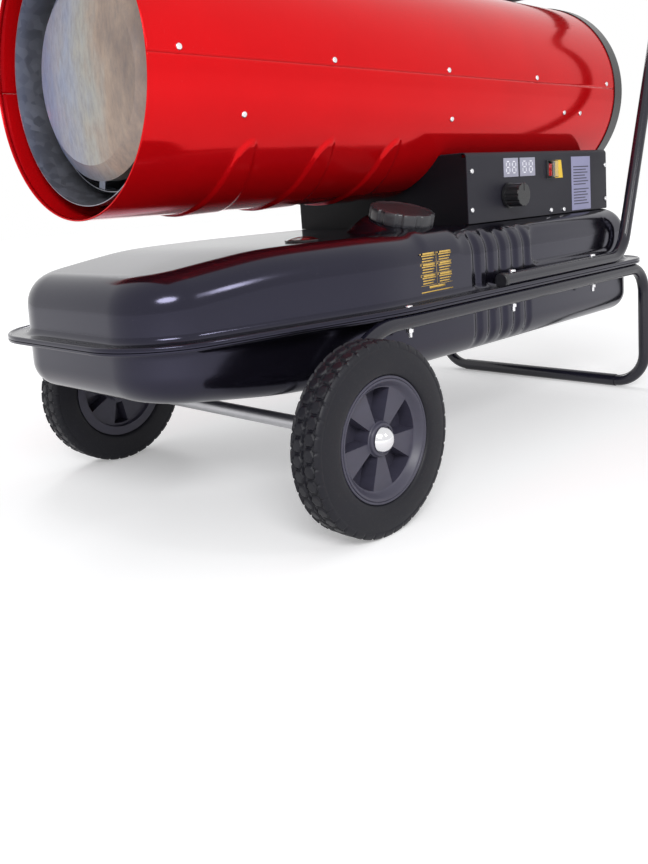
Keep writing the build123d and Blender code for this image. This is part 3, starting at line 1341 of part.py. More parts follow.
def pump_body():
    """Pump ring on the motor's rear with its bore set off centre."""
    start = MOTOR_Y[1]
    ring = rod("Y", PUMP_R, start, start + PUMP_LENGTH, 0, AXIS_Z)
    return ring - rod("Y", PUMP_BORE_R, start, start + PUMP_LENGTH, PUMP_OFFSET, AXIS_Z)


def pump_rotor():
    """Carbon rotor on the shaft with four vane slots."""
    start = MOTOR_Y[1] + GAP
    body = rod("Y", ROTOR_R, start, start + PUMP_LENGTH - 2 * GAP, 0, AXIS_Z)
    drills = [rod("Y", SHAFT_R, start, start + PUMP_LENGTH, 0, AXIS_Z)]
    for i in range(4):
        drills.append(spoke_block(i * 90, (SHAFT_R + 8, ROTOR_R + 1), 3, (start - 1, start + PUMP_LENGTH)))
    return drilled(body, drills)


def filter_cover():
    """Cup over the pump's end that holds the intake filter."""
    start = MOTOR_Y[1] + PUMP_LENGTH
    end = start + FILTER_LENGTH
    cup = rod("Y", PUMP_R, start, end, 0, AXIS_Z)
    cup = fillet(cup.edges().sort_by(Axis.Y)[-1], 4)
    return cup - rod("Y", PUMP_R - FILTER_WALL, start, end - FILTER_WALL, 0, AXIS_Z)


# ---------------------------------------------------------------- lines and wiring
def burner_lines():
    """Air line from the pump and fuel line from the tank to the nozzle's adapter."""
    port_y = CHAMBER_Y[1] + BURNER_T + (ADAPTER_SHANK + ADAPTER_LENGTH) / 2
    port_z = AXIS_Z - ADAPTER_HALF
    pump_y = MOTOR_Y[1] + PUMP_LENGTH / 2
    air = [
        (LINE_X, pump_y, AXIS_Z - PUMP_R),
        (LINE_X, pump_y, LINE_RISE_Z),
        (LINE_X, AIR_Y[0], LINE_RISE_Z),
        (LINE_X, AIR_Y[0], LINE_Z),
        (LINE_X, AIR_Y[1], LINE_Z),
        (LINE_X, AIR_Y[1], LINE_RISE_Z),
        (LINE_X, port_y, LINE_RISE_Z),
        (LINE_X, port_y, port_z),
    ]
    turn_z = LINE_RISE_Z - 5 * HOSE_R
    fuel = [
        (FUEL_X, FUEL_Y[0], TANK_BOTTOM + FUEL_FOOT),
        (FUEL_X, FUEL_Y[0], LINE_Z),
        (FUEL_X, FUEL_Y[1], LINE_Z),
        (FUEL_X, FUEL_Y[1], turn_z),
        (-LINE_X, FUEL_Y[1] - 5 * HOSE_R, turn_z),
        (-LINE_X, port_y, turn_z),
        (-LINE_X, port_y, port_z),
    ]
    return [bent_bar(route, [HOSE_BEND] * (len(route) - 2), HOSE_R) for route in (air, fuel)]


def spark_lead(side, start_y):
    """High-voltage lead from the transformer to one electrode."""
    rear = CHAMBER_Y[1] + CERAMIC_TAIL
    z = AXIS_Z + ELECTRODE_Z
    x = side * SPARK_X
    route = [
        (TRANSFORMER_X, start_y, SPARK_Z),
        (x, start_y, SPARK_Z),
        (x, SPARK_Y, SPARK_Z),
        (x, SPARK_Y, z),
        (side * ELECTRODE_X, SPARK_Y - 6 * LEAD_BEND, z),
        (side * ELECTRODE_X, rear, z),
    ]
    return bent_bar(route, [LEAD_BEND] * 4, LEAD_R)


def wiring():
    """Two spark leads, the motor's lead and the mains lead inside the box."""
    lead_x, lead_y = MOTOR_LEAD
    board_x = BOARD_X - RELAY_T / 2
    motor_route = [
        (board_x, BOARD_Y[1], MOTOR_LEAD_Z),
        (board_x, lead_y, MOTOR_LEAD_Z),
        (board_x, lead_y, MOTOR_LEAD_LOW),
        (lead_x, lead_y, MOTOR_LEAD_LOW),
        (lead_x, lead_y, AXIS_Z - MOTOR_R - 2),
    ]
    gland_x, gland_z = GLAND_AT
    mains_route = [
        (gland_x, BOX_Y[1] - GLAND_REACH, gland_z),
        (gland_x, MAINS_Y, gland_z),
        (BOARD_X - RELAY_T, MAINS_Y, gland_z),
    ]
    return [
        spark_lead(1, SPARK_START_Y[0]),
        spark_lead(-1, SPARK_START_Y[1]),
        bent_bar(motor_route, [LEAD_BEND] * 3, LEAD_R),
        bent_bar(mains_route, [LEAD_BEND], MAINS_R),
    ]


# ---------------------------------------------------------------- all the pieces
def pieces():
    """Every named piece of the heater on the design axes."""
    return {
        "tank_lower_shell": tank_lower_shell(),
        "tank_upper_shell": tank_upper_shell(),
        "filler_neck": filler_neck(),
        "filler_strainer": filler_strainer(),
        "filler_gasket": filler_gasket(),
        "filler_cap": filler_cap(),
        "gauge_body": gauge_body(),
        "gauge_lens": gauge_lens(),
        "gauge_needle": gauge_needle(),
        "gauge_float": gauge_float(),
        "frame_tube_right": frame_tube(),
        "frame_tube_left": mirrored(frame_tube()),
        "stand_cross_tube": stand_cross_tube(),
        "handle_tube_right": handle_tube(),
        "handle_tube_left": mirrored(handle_tube()),
        "handle_cross_bar": handle_cross_bar(),
        "handle_grip": handle_grip(),
        "handle_end_caps": handle_end_caps(),
        "frame_fasteners": frame_fasteners(),
        "axle": axle(),
        "axle_spacers": axle_spacers(),
        "hub_caps": hub_caps(),
        "tyre_right": tyre(),
        "rim_right": rim(),
        "bushes_right": bushes(),
        "tyre_left": mirrored(tyre()),
        "rim_left": mirrored(rim()),
        "bushes_left": [mirrored(bush) for bush in bushes()],
        "saddle_box": saddle_box(),
        "control_panel": control_panel(),
        "side_panel": side_panel(),
        "housing_screws": housing_screws(),
        "display_modules": display_modules(),
        "switch_housing": switch_housing(),
        "switch_rocker": switch_rocker(),
        "switch_cover": switch_cover(),
        "thermostat_body": thermostat_body(),
        "thermostat_knob": thermostat_knob(),
        "data_plate": data_plate(),
        "control_board": control_board(),
        "ignition_transformer": ignition_transformer(),
        "power_inlet": power_inlet(),
        "barrel_lower_shell": barrel_lower_shell(),
        "barrel_upper_shell": barrel_upper_shell(),
        "rear_guard": rear_guard(),
        "liner": liner(),
        "combustion_chamber": combustion_chamber(),
        "deflector": deflector(),
        "burner_head": burner_head(),
        "nozzle": nozzle(),
        "electrodes": electrodes(),
        "motor": motor(),
        "motor_bracket": motor_bracket(),
        "motor_shaft": motor_shaft(),
        "fan": fan(),
        "pump_body": pump_body(),
        "pump_rotor": pump_rotor(),
        "filter_cover": filter_cover(),
        "burner_lines": burner_lines(),
        "wiring": wiring(),
    }


def main():
    """Write each piece to its own file, with the origin under the heater's middle."""
    os.makedirs("parts", exist_ok=True)
    shift = Pos(0, -MIDDLE_Y, 0)
    for name, shape in pieces().items():
        solids = shape if isinstance(shape, list) else [shape]
        placed = [shift * solid for solid in solids]
        whole = placed[0] if len(placed) == 1 else Compound(children=placed)
        export_step(whole, f"parts/{name}.step")
        print(name, round(whole.volume / 1000, 1), "cm3")


if __name__ == "__main__":
    main()
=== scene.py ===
"""Dresses the forced air heater round its packed CAD frame.

The file is laid out as an add-on: property groups hold the sizes and colours, each operator builds one
group of pieces, and main() calls them in order. Sizes are in millimetres on the design axes, with the
wheel axle at Y = 0 and the floor at Z = 0, and placed() turns them into the frame's metres.
"""
from math import cos, pi, radians, sin, tan
from types import SimpleNamespace

import bmesh
import bpy
import numpy as np
from mathutils import Matrix, Vector


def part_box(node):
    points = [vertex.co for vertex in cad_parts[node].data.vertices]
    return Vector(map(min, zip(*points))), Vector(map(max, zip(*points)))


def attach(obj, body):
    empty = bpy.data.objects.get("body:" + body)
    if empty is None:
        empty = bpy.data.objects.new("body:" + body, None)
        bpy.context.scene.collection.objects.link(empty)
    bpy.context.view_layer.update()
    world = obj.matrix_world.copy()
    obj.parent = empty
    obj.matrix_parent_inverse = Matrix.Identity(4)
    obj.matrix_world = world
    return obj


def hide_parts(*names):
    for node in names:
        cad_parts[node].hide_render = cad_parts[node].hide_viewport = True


bl_info = {
    "name": "Forced air heater",
    "version": (1, 0, 0),
    "blender": (4, 5, 0),
    "location": "3D View > Sidebar > Heater",
    "description": "Builds the visible surfaces, finishes and studio of a forced air heater",
    "category": "Object",
}

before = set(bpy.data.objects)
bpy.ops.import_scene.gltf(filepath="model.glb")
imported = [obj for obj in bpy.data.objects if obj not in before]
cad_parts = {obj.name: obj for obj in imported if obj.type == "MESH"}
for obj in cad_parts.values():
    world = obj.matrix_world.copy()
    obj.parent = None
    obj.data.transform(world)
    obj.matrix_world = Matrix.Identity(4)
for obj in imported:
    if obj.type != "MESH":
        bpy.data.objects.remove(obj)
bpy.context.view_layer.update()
AXLE_Y = sum(corner.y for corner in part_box("axle")) / 2
MM = 0.001

# sizes shared by several pieces, in millimetres, with the taper's angle in degrees
AXLE_Z = 125.0
BARREL_Z = 602.0
BARREL_R = 184.0
BARREL_FRONT = -205.0
BARREL_REAR = 930.0
FLANGE_HALF_W = 260.0
FLANGE_FRONT = -264.0
FLANGE_REAR = 907.0
FRONT_CORNER_R = 120.0
REAR_CORNER_R = 80.0
TAPER_START = 125.0
TAPER = 10.0
TAPER_BLEND_R = 500.0
FLANGE_OVERHANG = 30.0
SEAM_Z = 264.0
FLANGE_LIP = 4.0
TANK_TOP = 369.0
BOX_FACE_X = 194.0
TREAD_HALF_W = 18.4


# ---------------------------------------------------------------- shader arithmetic
class Wire:
    """A shader socket that takes part in Python arithmetic; each operation adds its Math node."""

    def __init__(self, nodes, socket):
        self.nodes = nodes
        self.socket = socket

    def math(self, operation, *others):
        """Math node with this wire in its first socket."""
        return self.nodes.node("ShaderNodeMath", {"operation": operation}, dict(enumerate([self, *others])))

    def __add__(self, other):
        return self.math("ADD", other)

    __radd__ = __add__

    def __sub__(self, other):
        return self.math("SUBTRACT", other)

    def __rsub__(self, other):
        return self.nodes.node("ShaderNodeMath", {"operation": "SUBTRACT"}, {0: other, 1: self})

    def __mul__(self, other):
        return self.math("MULTIPLY", other)

    __rmul__ = __mul__

    def __truediv__(self, other):
        return self.math("DIVIDE", other)

    def __pow__(self, other):
        return self.math("POWER", other)

    def between(self, low, high):
        """0 below low, 1 above high, smooth between; high may be the smaller one."""
        sockets = {"Value": self, "From Min": low, "From Max": high}
        return self.nodes.node("ShaderNodeMapRange", {"interpolation_type": "SMOOTHSTEP"}, sockets)


class Nodes:
    """A node tree whose nodes are made from Python expressions."""

    def __init__(self, tree):
        self.tree = tree

    def node(self, kind, settings=None, sockets=None, out=0):
        """Any node from its type, its settings and the values or wires of its sockets."""
        made = self.tree.nodes.new(kind)
        for name, value in (settings or {}).items():
            if name == "stops":
                ramp = made.color_ramp
                while len(ramp.elements) < len(value):
                    ramp.elements.new(0.5)
                for element, (place, colour) in zip(ramp.elements, value):
                    element.position = place
                    element.color = (*colour, 1.0)
            else:
                setattr(made, name, value)
        for name, value in (sockets or {}).items():
            if isinstance(value, Wire):
                self.tree.links.new(value.socket, made.inputs[name])
            elif value is not None:
                made.inputs[name].default_value = value
        return Wire(self, made.outputs[out])

    def seen(self):
        """1 for camera, glossy and transmission rays, which see the white surround, 0 for the rest."""
        kinds = ("Is Camera Ray", "Is Glossy Ray", "Is Transmission Ray")
        rays = [self.node("ShaderNodeLightPath", out=kind) for kind in kinds]
        return rays[0].math("MAXIMUM", rays[1]).math("MAXIMUM", rays[2])


class Finish(Nodes):
    """A material with its Principled surface and its object coordinates."""

    def __init__(self, name, **constants):
        self.material = bpy.data.materials.new(name)
        self.material.use_nodes = True
        super().__init__(self.material.node_tree)
        self.shader = self.tree.nodes["Principled BSDF"]
        for socket, value in constants.items():
            self.shader.inputs[socket.replace("_", " ")].default_value = value
        self.coords = self.node("ShaderNodeTexCoord", out="Object")

    def noise(self, scale, detail, roughness=0.5, stretch=None):
        """Noise on the object's own coordinates, from 0 to 1; stretch squeezes it along an axis."""
        vector = self.coords
        if stretch:
            vector = self.node("ShaderNodeMapping", None, {"Vector": vector, "Scale": stretch})
        sockets = {"Vector": vector, "Scale": scale, "Detail": detail, "Roughness": roughness}
        return self.node("ShaderNodeTexNoise", None, sockets)

    def mix(self, factor, first, second):
        """Colour mix, whose colours are the node's sockets 6 and 7."""
        sockets = {0: factor, 6: opaque(first), 7: opaque(second)}
        return self.node("ShaderNodeMix", {"data_type": "RGBA"}, sockets, out=2)

    def ramp(self, factor, *stops):
        """Colour ramp through (place, colour) stops."""
        return self.node("ShaderNodeValToRGB", {"stops": stops}, {"Fac": factor})

    def axis(self, name):
        """One coordinate of the object's own space, in metres."""
        return self.node("ShaderNodeSeparateXYZ", None, {"Vector": self.coords}, out=name)

    def set(self, **wires):
        """Feeds the surface's sockets."""
        for name, wire in wires.items():
            self.tree.links.new(wire.socket, self.shader.inputs[name.replace("_", " ")])

    def bump(self, height, distance, strength):
        """Bump under the surface, whose distance is in millimetres."""
        sockets = {"Height": height, "Distance": distance * MM, "Strength": strength}
        self.set(Normal=self.node("ShaderNodeBump", None, sockets))
        return self


def opaque(value):
    """A colour with its fourth number; anything else as it is."""
    return (*value, 1.0) if isinstance(value, (tuple, list)) and len(value) == 3 else value


def scaled(colour, factor):
    """A colour made lighter or darker."""
    return tuple(c * factor for c in colour)


# ---------------------------------------------------------------- finishes
def gloss_paint(name, colour, roughness, coat=0.0, flake=0.0, specular=0.5, tint=(1.0, 1.0, 1.0)):
    """Baked gloss enamel: faint orange peel, slight cloudiness and a few dust specks.

    Flake gives it a share of metal, and tint colours what it mirrors.
    """
    f = Finish(name, Coat_Weight=coat, Coat_Roughness=0.03, Metallic=flake, Specular_IOR_Level=specular,
               Specular_Tint=opaque(tint))
    cloud = f.noise(9.0, detail=4.0)
    speck = f.noise(900.0, detail=1.0).between(0.76, 0.82)
    dust = (0.30, 0.29, 0.30)
    tone = f.mix(cloud, scaled(colour, 0.88), scaled(colour, 1.1))
    f.set(Base_Color=f.mix(speck * 0.35, tone, dust))
    f.set(Roughness=cloud * 0.04 + roughness + speck * 0.2)
    return f.bump(f.noise(200.0, detail=1.5), 0.05, strength=0.2)


def satin_paint(name, colour, roughness=0.3, grain=700.0, depth=0.1, specular=0.5):
    """Powder coat: fine even grain, rubbed a little smoother in patches."""
    f = Finish(name, Specular_IOR_Level=specular)
    grains = f.noise(grain, detail=2.0)
    patch = f.noise(14.0, detail=5.0)
    f.set(Base_Color=f.mix(grains, scaled(colour, 0.8), scaled(colour, 1.25)))
    f.set(Roughness=patch * 0.12 + grains * 0.08 + (roughness - 0.1))
    return f.bump(grains, depth, strength=0.5)


def moulded_plastic(name, colour, roughness=0.38, grain=1400.0, specular=0.5):
    """Moulded plastic: spark-eroded grain, and faint flow marks that run level."""
    f = Finish(name, Specular_IOR_Level=specular)
    grains = f.noise(grain, detail=2.0)
    flow = f.noise(30.0, detail=4.0, stretch=(1.0, 1.0, 4.0))
    f.set(Base_Color=f.mix(flow, scaled(colour, 0.82), scaled(colour, 1.2)))
    f.set(Roughness=grains * 0.12 + flow * 0.08 + (roughness - 0.1))
    return f.bump(grains, 0.08, strength=0.4)


def tyre_compound(name, colour):
    """Moulded rubber: matt bloom, fine scuffs and a little floor dust on the tread."""
    f = Finish(name, Specular_IOR_Level=0.3)
    scuff = f.noise(180.0, detail=6.0, roughness=0.65)
    bloom = f.noise(22.0, detail=4.0)
    dusty = f.noise(420.0, detail=3.0).between(0.55, 0.8)
    floor_dust = (0.09, 0.085, 0.08)
    tone = f.mix(bloom, scaled(colour, 0.75), scaled(colour, 1.35))
    f.set(Base_Color=f.mix(dusty * 0.12, tone, floor_dust))
    f.set(Roughness=bloom * 0.16 + scuff * 0.12 + 0.36)
    return f.bump(scuff, 0.12, strength=0.35)


def bright_metal(name, colour, roughness, brushed=(1.0, 1.0, 1.0), tarnish=0.12):
    """Plated or drawn metal: fine drawing lines and cloudy tarnish."""
    f = Finish(name, Metallic=1.0)
    lines = f.noise(900.0, detail=2.0, stretch=brushed)
    cloud = f.noise(60.0, detail=4.0)
    f.set(Base_Color=f.mix(cloud * tarnish * 4, colour, scaled(colour, 0.6)))
    f.set(Roughness=lines * 0.12 + cloud * 0.1 + (roughness - 0.08))
    return f.bump(lines, 0.04, strength=0.3)


def galvanised(name, colour):
    """Hot dipped sheet: spangle cells of slightly different grey and sheen."""
    f = Finish(name, Metallic=0.85)
    spangles = {"Vector": f.coords, "Scale": 95.0, "Randomness": 1.0}
    cells = f.node("ShaderNodeTexVoronoi", None, spangles, out="Color")
    shade = f.node("ShaderNodeSeparateColor", None, {"Color": cells}, out="Red")
    cloud = f.noise(11.0, detail=4.0)
    tone = f.mix(shade, scaled(colour, 0.82), scaled(colour, 1.12))
    f.set(Base_Color=f.mix(cloud * 0.35, tone, scaled(colour, 0.6)))
    f.set(Roughness=shade * 0.1 + cloud * 0.14 + 0.26)
    return f.bump(f.noise(500.0, detail=2.0), 0.05, strength=0.3)


def heated_steel(name):
    """Stainless sheet run hot, with fine streaks.

    It goes from blue at the cold side through grey and straw to brown at the hot side, and the line
    between them wanders.
    """
    f = Finish(name, Metallic=0.75)
    streak = f.noise(34.0, detail=7.0, roughness=0.65, stretch=(1.0, 0.4, 0.4))
    patch = f.noise(9.0, detail=4.0)
    fine = f.noise(170.0, detail=6.0, roughness=0.7, stretch=(1.0, 1.0, 0.3))
    place = f.axis("X") * 3.2 + 0.5 + (streak - 0.5) * 0.5 + (patch - 0.5) * 0.35
    tint = f.ramp(
        place,
        (0.10, (0.20, 0.27, 0.46)),
        (0.34, (0.34, 0.37, 0.45)),
        (0.52, (0.40, 0.39, 0.36)),
        (0.70, (0.40, 0.31, 0.25)),
        (0.92, (0.22, 0.17, 0.15)),
    )
    sooty = fine.between(0.35, 0.75)
    soot = (0.16, 0.155, 0.17)
    f.set(Base_Color=f.mix(sooty * 0.4, tint, soot))
    f.set(Roughness=fine * 0.25 + patch * 0.15 + 0.24)
    return f.bump(fine, 0.15, strength=0.4)


def clear_moulding(name, tint):
    """Clear moulded plastic with faint swirl marks."""
    f = Finish(name, Transmission_Weight=1.0, IOR=1.47)
    swirl = f.noise(240.0, detail=4.0)
    f.set(Base_Color=f.mix(swirl, tint, scaled(tint, 0.94)))
    f.set(Roughness=swirl * 0.06 + 0.02)
    return f


def printed_film(name, colour, roughness):
    """Printed film: faint weave of the print screen."""
    f = Finish(name)
    screen = f.noise(2600.0, detail=1.0)
    cloud = f.noise(35.0, detail=3.0)
    f.set(Base_Color=f.mix(cloud, scaled(colour, 0.93), scaled(colour, 1.06)))
    f.set(Roughness=screen * 0.1 + cloud * 0.08 + (roughness - 0.08))
    return f.bump(screen, 0.02, strength=0.3)


# ---------------------------------------------------------------- meshes
SAME_POINT = 0.002  # points nearer than this are made one
SHARP_ANGLE = 40.0  # degrees between faces, past which an edge is shaded sharp


def placed(x, y, z):
    """Design millimetres as the frame's metres, in arrays of any one shape."""
    x, y, z = np.broadcast_arrays(x, y, z)
    return np.stack([x * MM, y * MM + AXLE_Y, z * MM], -1)


def smoothstep(low, high, value):
    """0 below low, 1 above high, and 3t^2 - 2t^3 between."""
    t = np.clip((value - low) / (high - low), 0, 1)
    return t * t * (3 - 2 * t)


def steps(*stretches):
    """Places along a line from (start, end, count) stretches, each end left to the next stretch."""
    parts = [np.linspace(a, b, n, endpoint=False) for a, b, n in stretches]
    return np.concatenate([*parts, [stretches[-1][1]]])


def grid_faces(rows, columns, close_rows=False, close_columns=False):
    """One quad for each cell of a grid of points numbered row by row.

    A closed way joins its last points to its first.
    """
    index = np.arange(rows * columns).reshape(rows, columns)
    if close_rows:
        index = np.vstack([index, index[:1]])
    if close_columns:
        index = np.hstack([index, index[:, :1]])
    cells = [index[:-1, :-1], index[1:, :-1], index[1:, 1:], index[:-1, 1:]]
    return np.stack(cells, -1).reshape(-1, 4)


def surface(name, points, body, finish, close_rows=False, close_columns=False, keep=None, replaces=()):
    """Piece over a grid of points: quads between neighbours, doubled points merged, smooth shaded."""
    faces = grid_faces(*points.shape[:2], close_rows, close_columns)
    flat = points.reshape(-1, 3)
    if keep is not None:
        faces = faces[keep(flat[faces].mean(1))]
    return piece(name, flat, faces, body, finish, replaces)


def piece(name, points, faces, body, finish, replaces=(), smooth=True):
    """Object from points and faces that rides on a body and takes its finish from a slot."""
    mesh = bpy.data.meshes.new(name)
    mesh.from_pydata(points, [], [list(face) for face in faces])
    work = bmesh.new()
    work.from_mesh(mesh)
    bmesh.ops.remove_doubles(work, verts=work.verts, dist=SAME_POINT * MM)
    loose = [v for v in work.verts if not v.link_faces]
    bmesh.ops.delete(work, geom=loose, context="VERTS")
    work.to_mesh(mesh)
    work.free()
    mesh.polygons.foreach_set("use_smooth", [smooth] * len(mesh.polygons))
    if smooth:
        mesh.set_sharp_from_angle(angle=radians(SHARP_ANGLE))
    mesh.materials.append(finish.material)
    made = bpy.data.objects.new(name, mesh)
    bpy.context.scene.collection.objects.link(made)
    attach(made, body)
    if replaces:
        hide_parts(*replaces)
    return made


def thicken(obj, thickness):
    """Gives a sheet its wall, inwards from its outer face."""
    wall = obj.modifiers.new("Wall", "SOLIDIFY")
    wall.thickness = thickness * MM
    wall.offset = -1.0
    wall.use_even_offset = False
    return obj


def bar_outline(start, end, low, high):
    """Corners of an upright rectangle as (y, z)."""
    return [(start, low), (end, low), (end, high), (start, high)]


def seven_segments(y, z, width, height):
    """Outlines of a figure's seven bars round a middle, each a bar with pointed ends.

    The bars lie on half widths and quarter heights of the figure, three level and four upright.
    """
    stroke = 0.055 * height
    gap = 1.3 * stroke
    half_w, half_h = width / 2, height / 4
    places = [(0, 2, 0), (0, 0, 0), (0, -2, 0), (-1, 1, 1), (1, 1, 1), (-1, -1, 1), (1, -1, 1)]
    outlines = []
    for across, up, upright in places:
        tip = (half_h if upright else half_w) - gap
        level = np.array([(-tip, 0), (stroke - tip, -stroke), (tip - stroke, -stroke), (tip, 0),
                          (tip - stroke, stroke), (stroke - tip, stroke)])
        bar = level[:, ::-1] * (-1, 1) if upright else level
        outlines.append(bar + (y + across * half_w, z + up * half_h))
    return outlines


def prisms(outlines, back, front):
    """Points and faces of flat shapes raised from back to front.

    Their outlines are (y, z) corners, anticlockwise seen from +X.
    """
    points, faces = [], []
    for outline in outlines:
        first, count = len(points), len(outline)
        points += [(front, y, z) for y, z in outline] + [(back, y, z) for y, z in outline]
        faces.append([first + i for i in range(count)])
        faces.append([first + 2 * count - 1 - i for i in range(count)])
        for i in range(count):
            j = (i + 1) % count
            faces.append([first + i, first + count + i, first + count + j, first + j])
    return placed(*np.array(points).T), faces


def turned(profile, angles, shape=None):
    """Points turned about an axis: rows of (along, radius) carried round by angle.

    The function shape may change both for each angle.
    """
    along, radius = np.asarray(profile, float).T
    along, radius, angle = np.broadcast_arrays(along[None], radius[None], angles[:, None])
    if shape:
        along, radius = shape(along, radius, angle)
    return along, radius * np.cos(angle), radius * np.sin(angle)


# ---------------------------------------------------------------- tank
def arc_edge(centre, radius, start, end, count):
    """Arc as rows of x, y and the outward normal, its end left to the next stretch."""
    a = np.linspace(start, end, count, endpoint=False)
    normal = np.stack([np.cos(a), np.sin(a)], -1)
    return np.concatenate([np.add(centre, radius * normal), normal], 1)


def line_edge(first, last, shares):
    """Straight stretch as rows of x, y and the outward normal, at shares of its length."""
    run = np.subtract(last, first)
    normal = [run[1], -run[0]] / np.hypot(*run)
    points = np.add(first, np.asarray(shares)[:, None] * run)
    return np.concatenate([points, np.tile(normal, (len(points), 1))], 1)


def tank_plan():
    """Edge of the flange from the middle of the front, anticlockwise, with its outward normals.

    Front, corner arc, side drawn in by the taper, soft bend, side, rear corner and rear. The side's
    steps are finest over the grooves, and fine at the long panel's rear end.
    """
    half, front, rear = FLANGE_HALF_W, FLANGE_FRONT, FLANGE_REAR
    grooves_from, grooves_to, panel_end_from, panel_end_to = 262, 520, 750, 815
    lean = radians(TAPER)
    bend = TAPER_BLEND_R * tan(lean / 2)
    corner_x = half - (TAPER_START - front) * tan(lean)
    start = corner_x - FRONT_CORNER_R * tan((pi / 2 - lean) / 2)
    centre = (start, front + FRONT_CORNER_R)
    turned_in = (start + FRONT_CORNER_R * cos(lean), centre[1] - FRONT_CORNER_R * sin(lean))
    bend_low = (half - bend * sin(lean), TAPER_START - bend * cos(lean))
    side_low, side_high = TAPER_START + bend, rear - REAR_CORNER_R
    y = steps((side_low, grooves_from, 16), (grooves_from, grooves_to, 114), (grooves_to, panel_end_from, 22),
              (panel_end_from, panel_end_to, 18), (panel_end_to, side_high, 2))[:-1]
    even = np.linspace(0, 1, 14, endpoint=False)
    right = np.concatenate([
        line_edge((0, front), (start, front), even),
        arc_edge(centre, FRONT_CORNER_R, -pi / 2, -lean, 28),
        line_edge(turned_in, bend_low, even),
        arc_edge((half - TAPER_BLEND_R, side_low), TAPER_BLEND_R, -lean, 0, 8),
        line_edge((half, side_low), (half, side_high), (y - side_low) / (side_high - side_low)),
        arc_edge((half - REAR_CORNER_R, side_high), REAR_CORNER_R, 0, pi / 2, 24),
        line_edge((half - REAR_CORNER_R, rear), (0, rear), np.linspace(0, 1, 11)),
    ])
    left = right[-2:0:-1] * [-1, 1, -1, 1]
    loop = np.concatenate([right, left])
    return loop[:, :2], loop[:, 2:]


def inset(plan, distance):
    """The plan drawn inwards along its normals."""
    edge, normal = plan
    return edge[:, None] - normal[:, None] * distance[..., None]


def beyond(ahead, blend):
    """Distance past a line, 0 before it, with the change spread over the blend."""
    return (ahead + np.sqrt(ahead ** 2 + blend ** 2)) / 2


def bottom_height(y):
    """Height of the tank's underside: level, rising gently at the front."""
    s = settings("heater_tank")
    return s.bottom + s.bottom_slope * beyond(s.bottom_slope_start - y, s.slope_blend)


def crown_height(x, y):
    """Height of the tank's top: level, easing into a gentle fall at the front, with the filler's mound.

    The mound is a flat disc tilted about Y whose side falls in an S-curve and then straight on; its height
    over a point is found by a few rounds of substitution, and it meets the top in a rounded hollow.
    """
    s = settings("heater_tank")
    top = TANK_TOP - s.slope * beyond(s.slope_start - y, s.slope_blend)
    tilt = s.mound_tilt
    cx, cy, cz = s.mound_at
    rounds = 12
    z = np.full(np.shape(x), cz)
    for _ in range(rounds):
        along = (x - cx) * cos(tilt) - (z - cz) * sin(tilt)
        radius = np.hypot(along, y - cy)
        drop = s.mound_fall * smoothstep(s.mound_top, s.mound_foot, radius)
        drop = drop + np.maximum(radius - s.mound_foot, 0)
        z = cz - drop / cos(tilt) - (x - cx) * tan(tilt)
    gap = top - z
    return (top + z + np.sqrt(gap ** 2 + s.mound_blend ** 2)) / 2


def side_pressing(y, z, upper):
    """How far the wall is pressed in: upright grooves, and the long panel in the upper half.

    A groove's depth is a squared cosine across it, which fades at its end. The panel's is an S-curve of
    the distance to its rounded outline.
    """
    s = settings("heater_tank")
    fade_top, fade_low, fade_high = 14, 168, 200
    rim_out, rim_in = 4.0, -5.0
    first, pitch, count = s.groove_first, s.groove_pitch, s.groove_count
    nearest = np.clip(np.round((y - first) / pitch), 0, count - 1) * pitch + first
    near = np.clip(np.abs(y - nearest) / s.groove_half_width, 0, 1)
    depth = s.groove_depth * np.cos(near * pi / 2) ** 2
    if upper:
        depth = depth * smoothstep(s.groove_top, s.groove_top - fade_top, z)
        low_y, high_y, low_z, high_z = s.panel
        mid_y, mid_z = (low_y + high_y) / 2, (low_z + high_z) / 2
        radius = np.where(y > mid_y, s.panel_rear_r, s.panel_front_r)
        over_y = np.abs(y - mid_y) - (high_y - low_y) / 2 + radius
        over_z = np.abs(z - mid_z) - (high_z - low_z) / 2 + radius
        outside = np.hypot(np.maximum(over_y, 0), np.maximum(over_z, 0))
        edge = outside + np.minimum(np.maximum(over_y, over_z), 0) - radius
        depth = depth + s.panel_depth * smoothstep(rim_out, rim_in, edge)
    else:
        depth = depth * smoothstep(fade_low, fade_high, z)
    return depth


def on_flat_side(plan):
    """1 where the plan runs straight along Y, 0 elsewhere."""
    return (np.abs(plan[1][:, 0]) > 0.999).astype(float)[:, None]


def middle_line(ring):
    """Points on the tank's middle line that the rows across its top and bottom run to."""
    rear_fan = 150
    y = np.clip(ring[:, 1], FLANGE_FRONT + FRONT_CORNER_R, FLANGE_REAR - rear_fan)
    return np.stack([0 * y, y], -1)


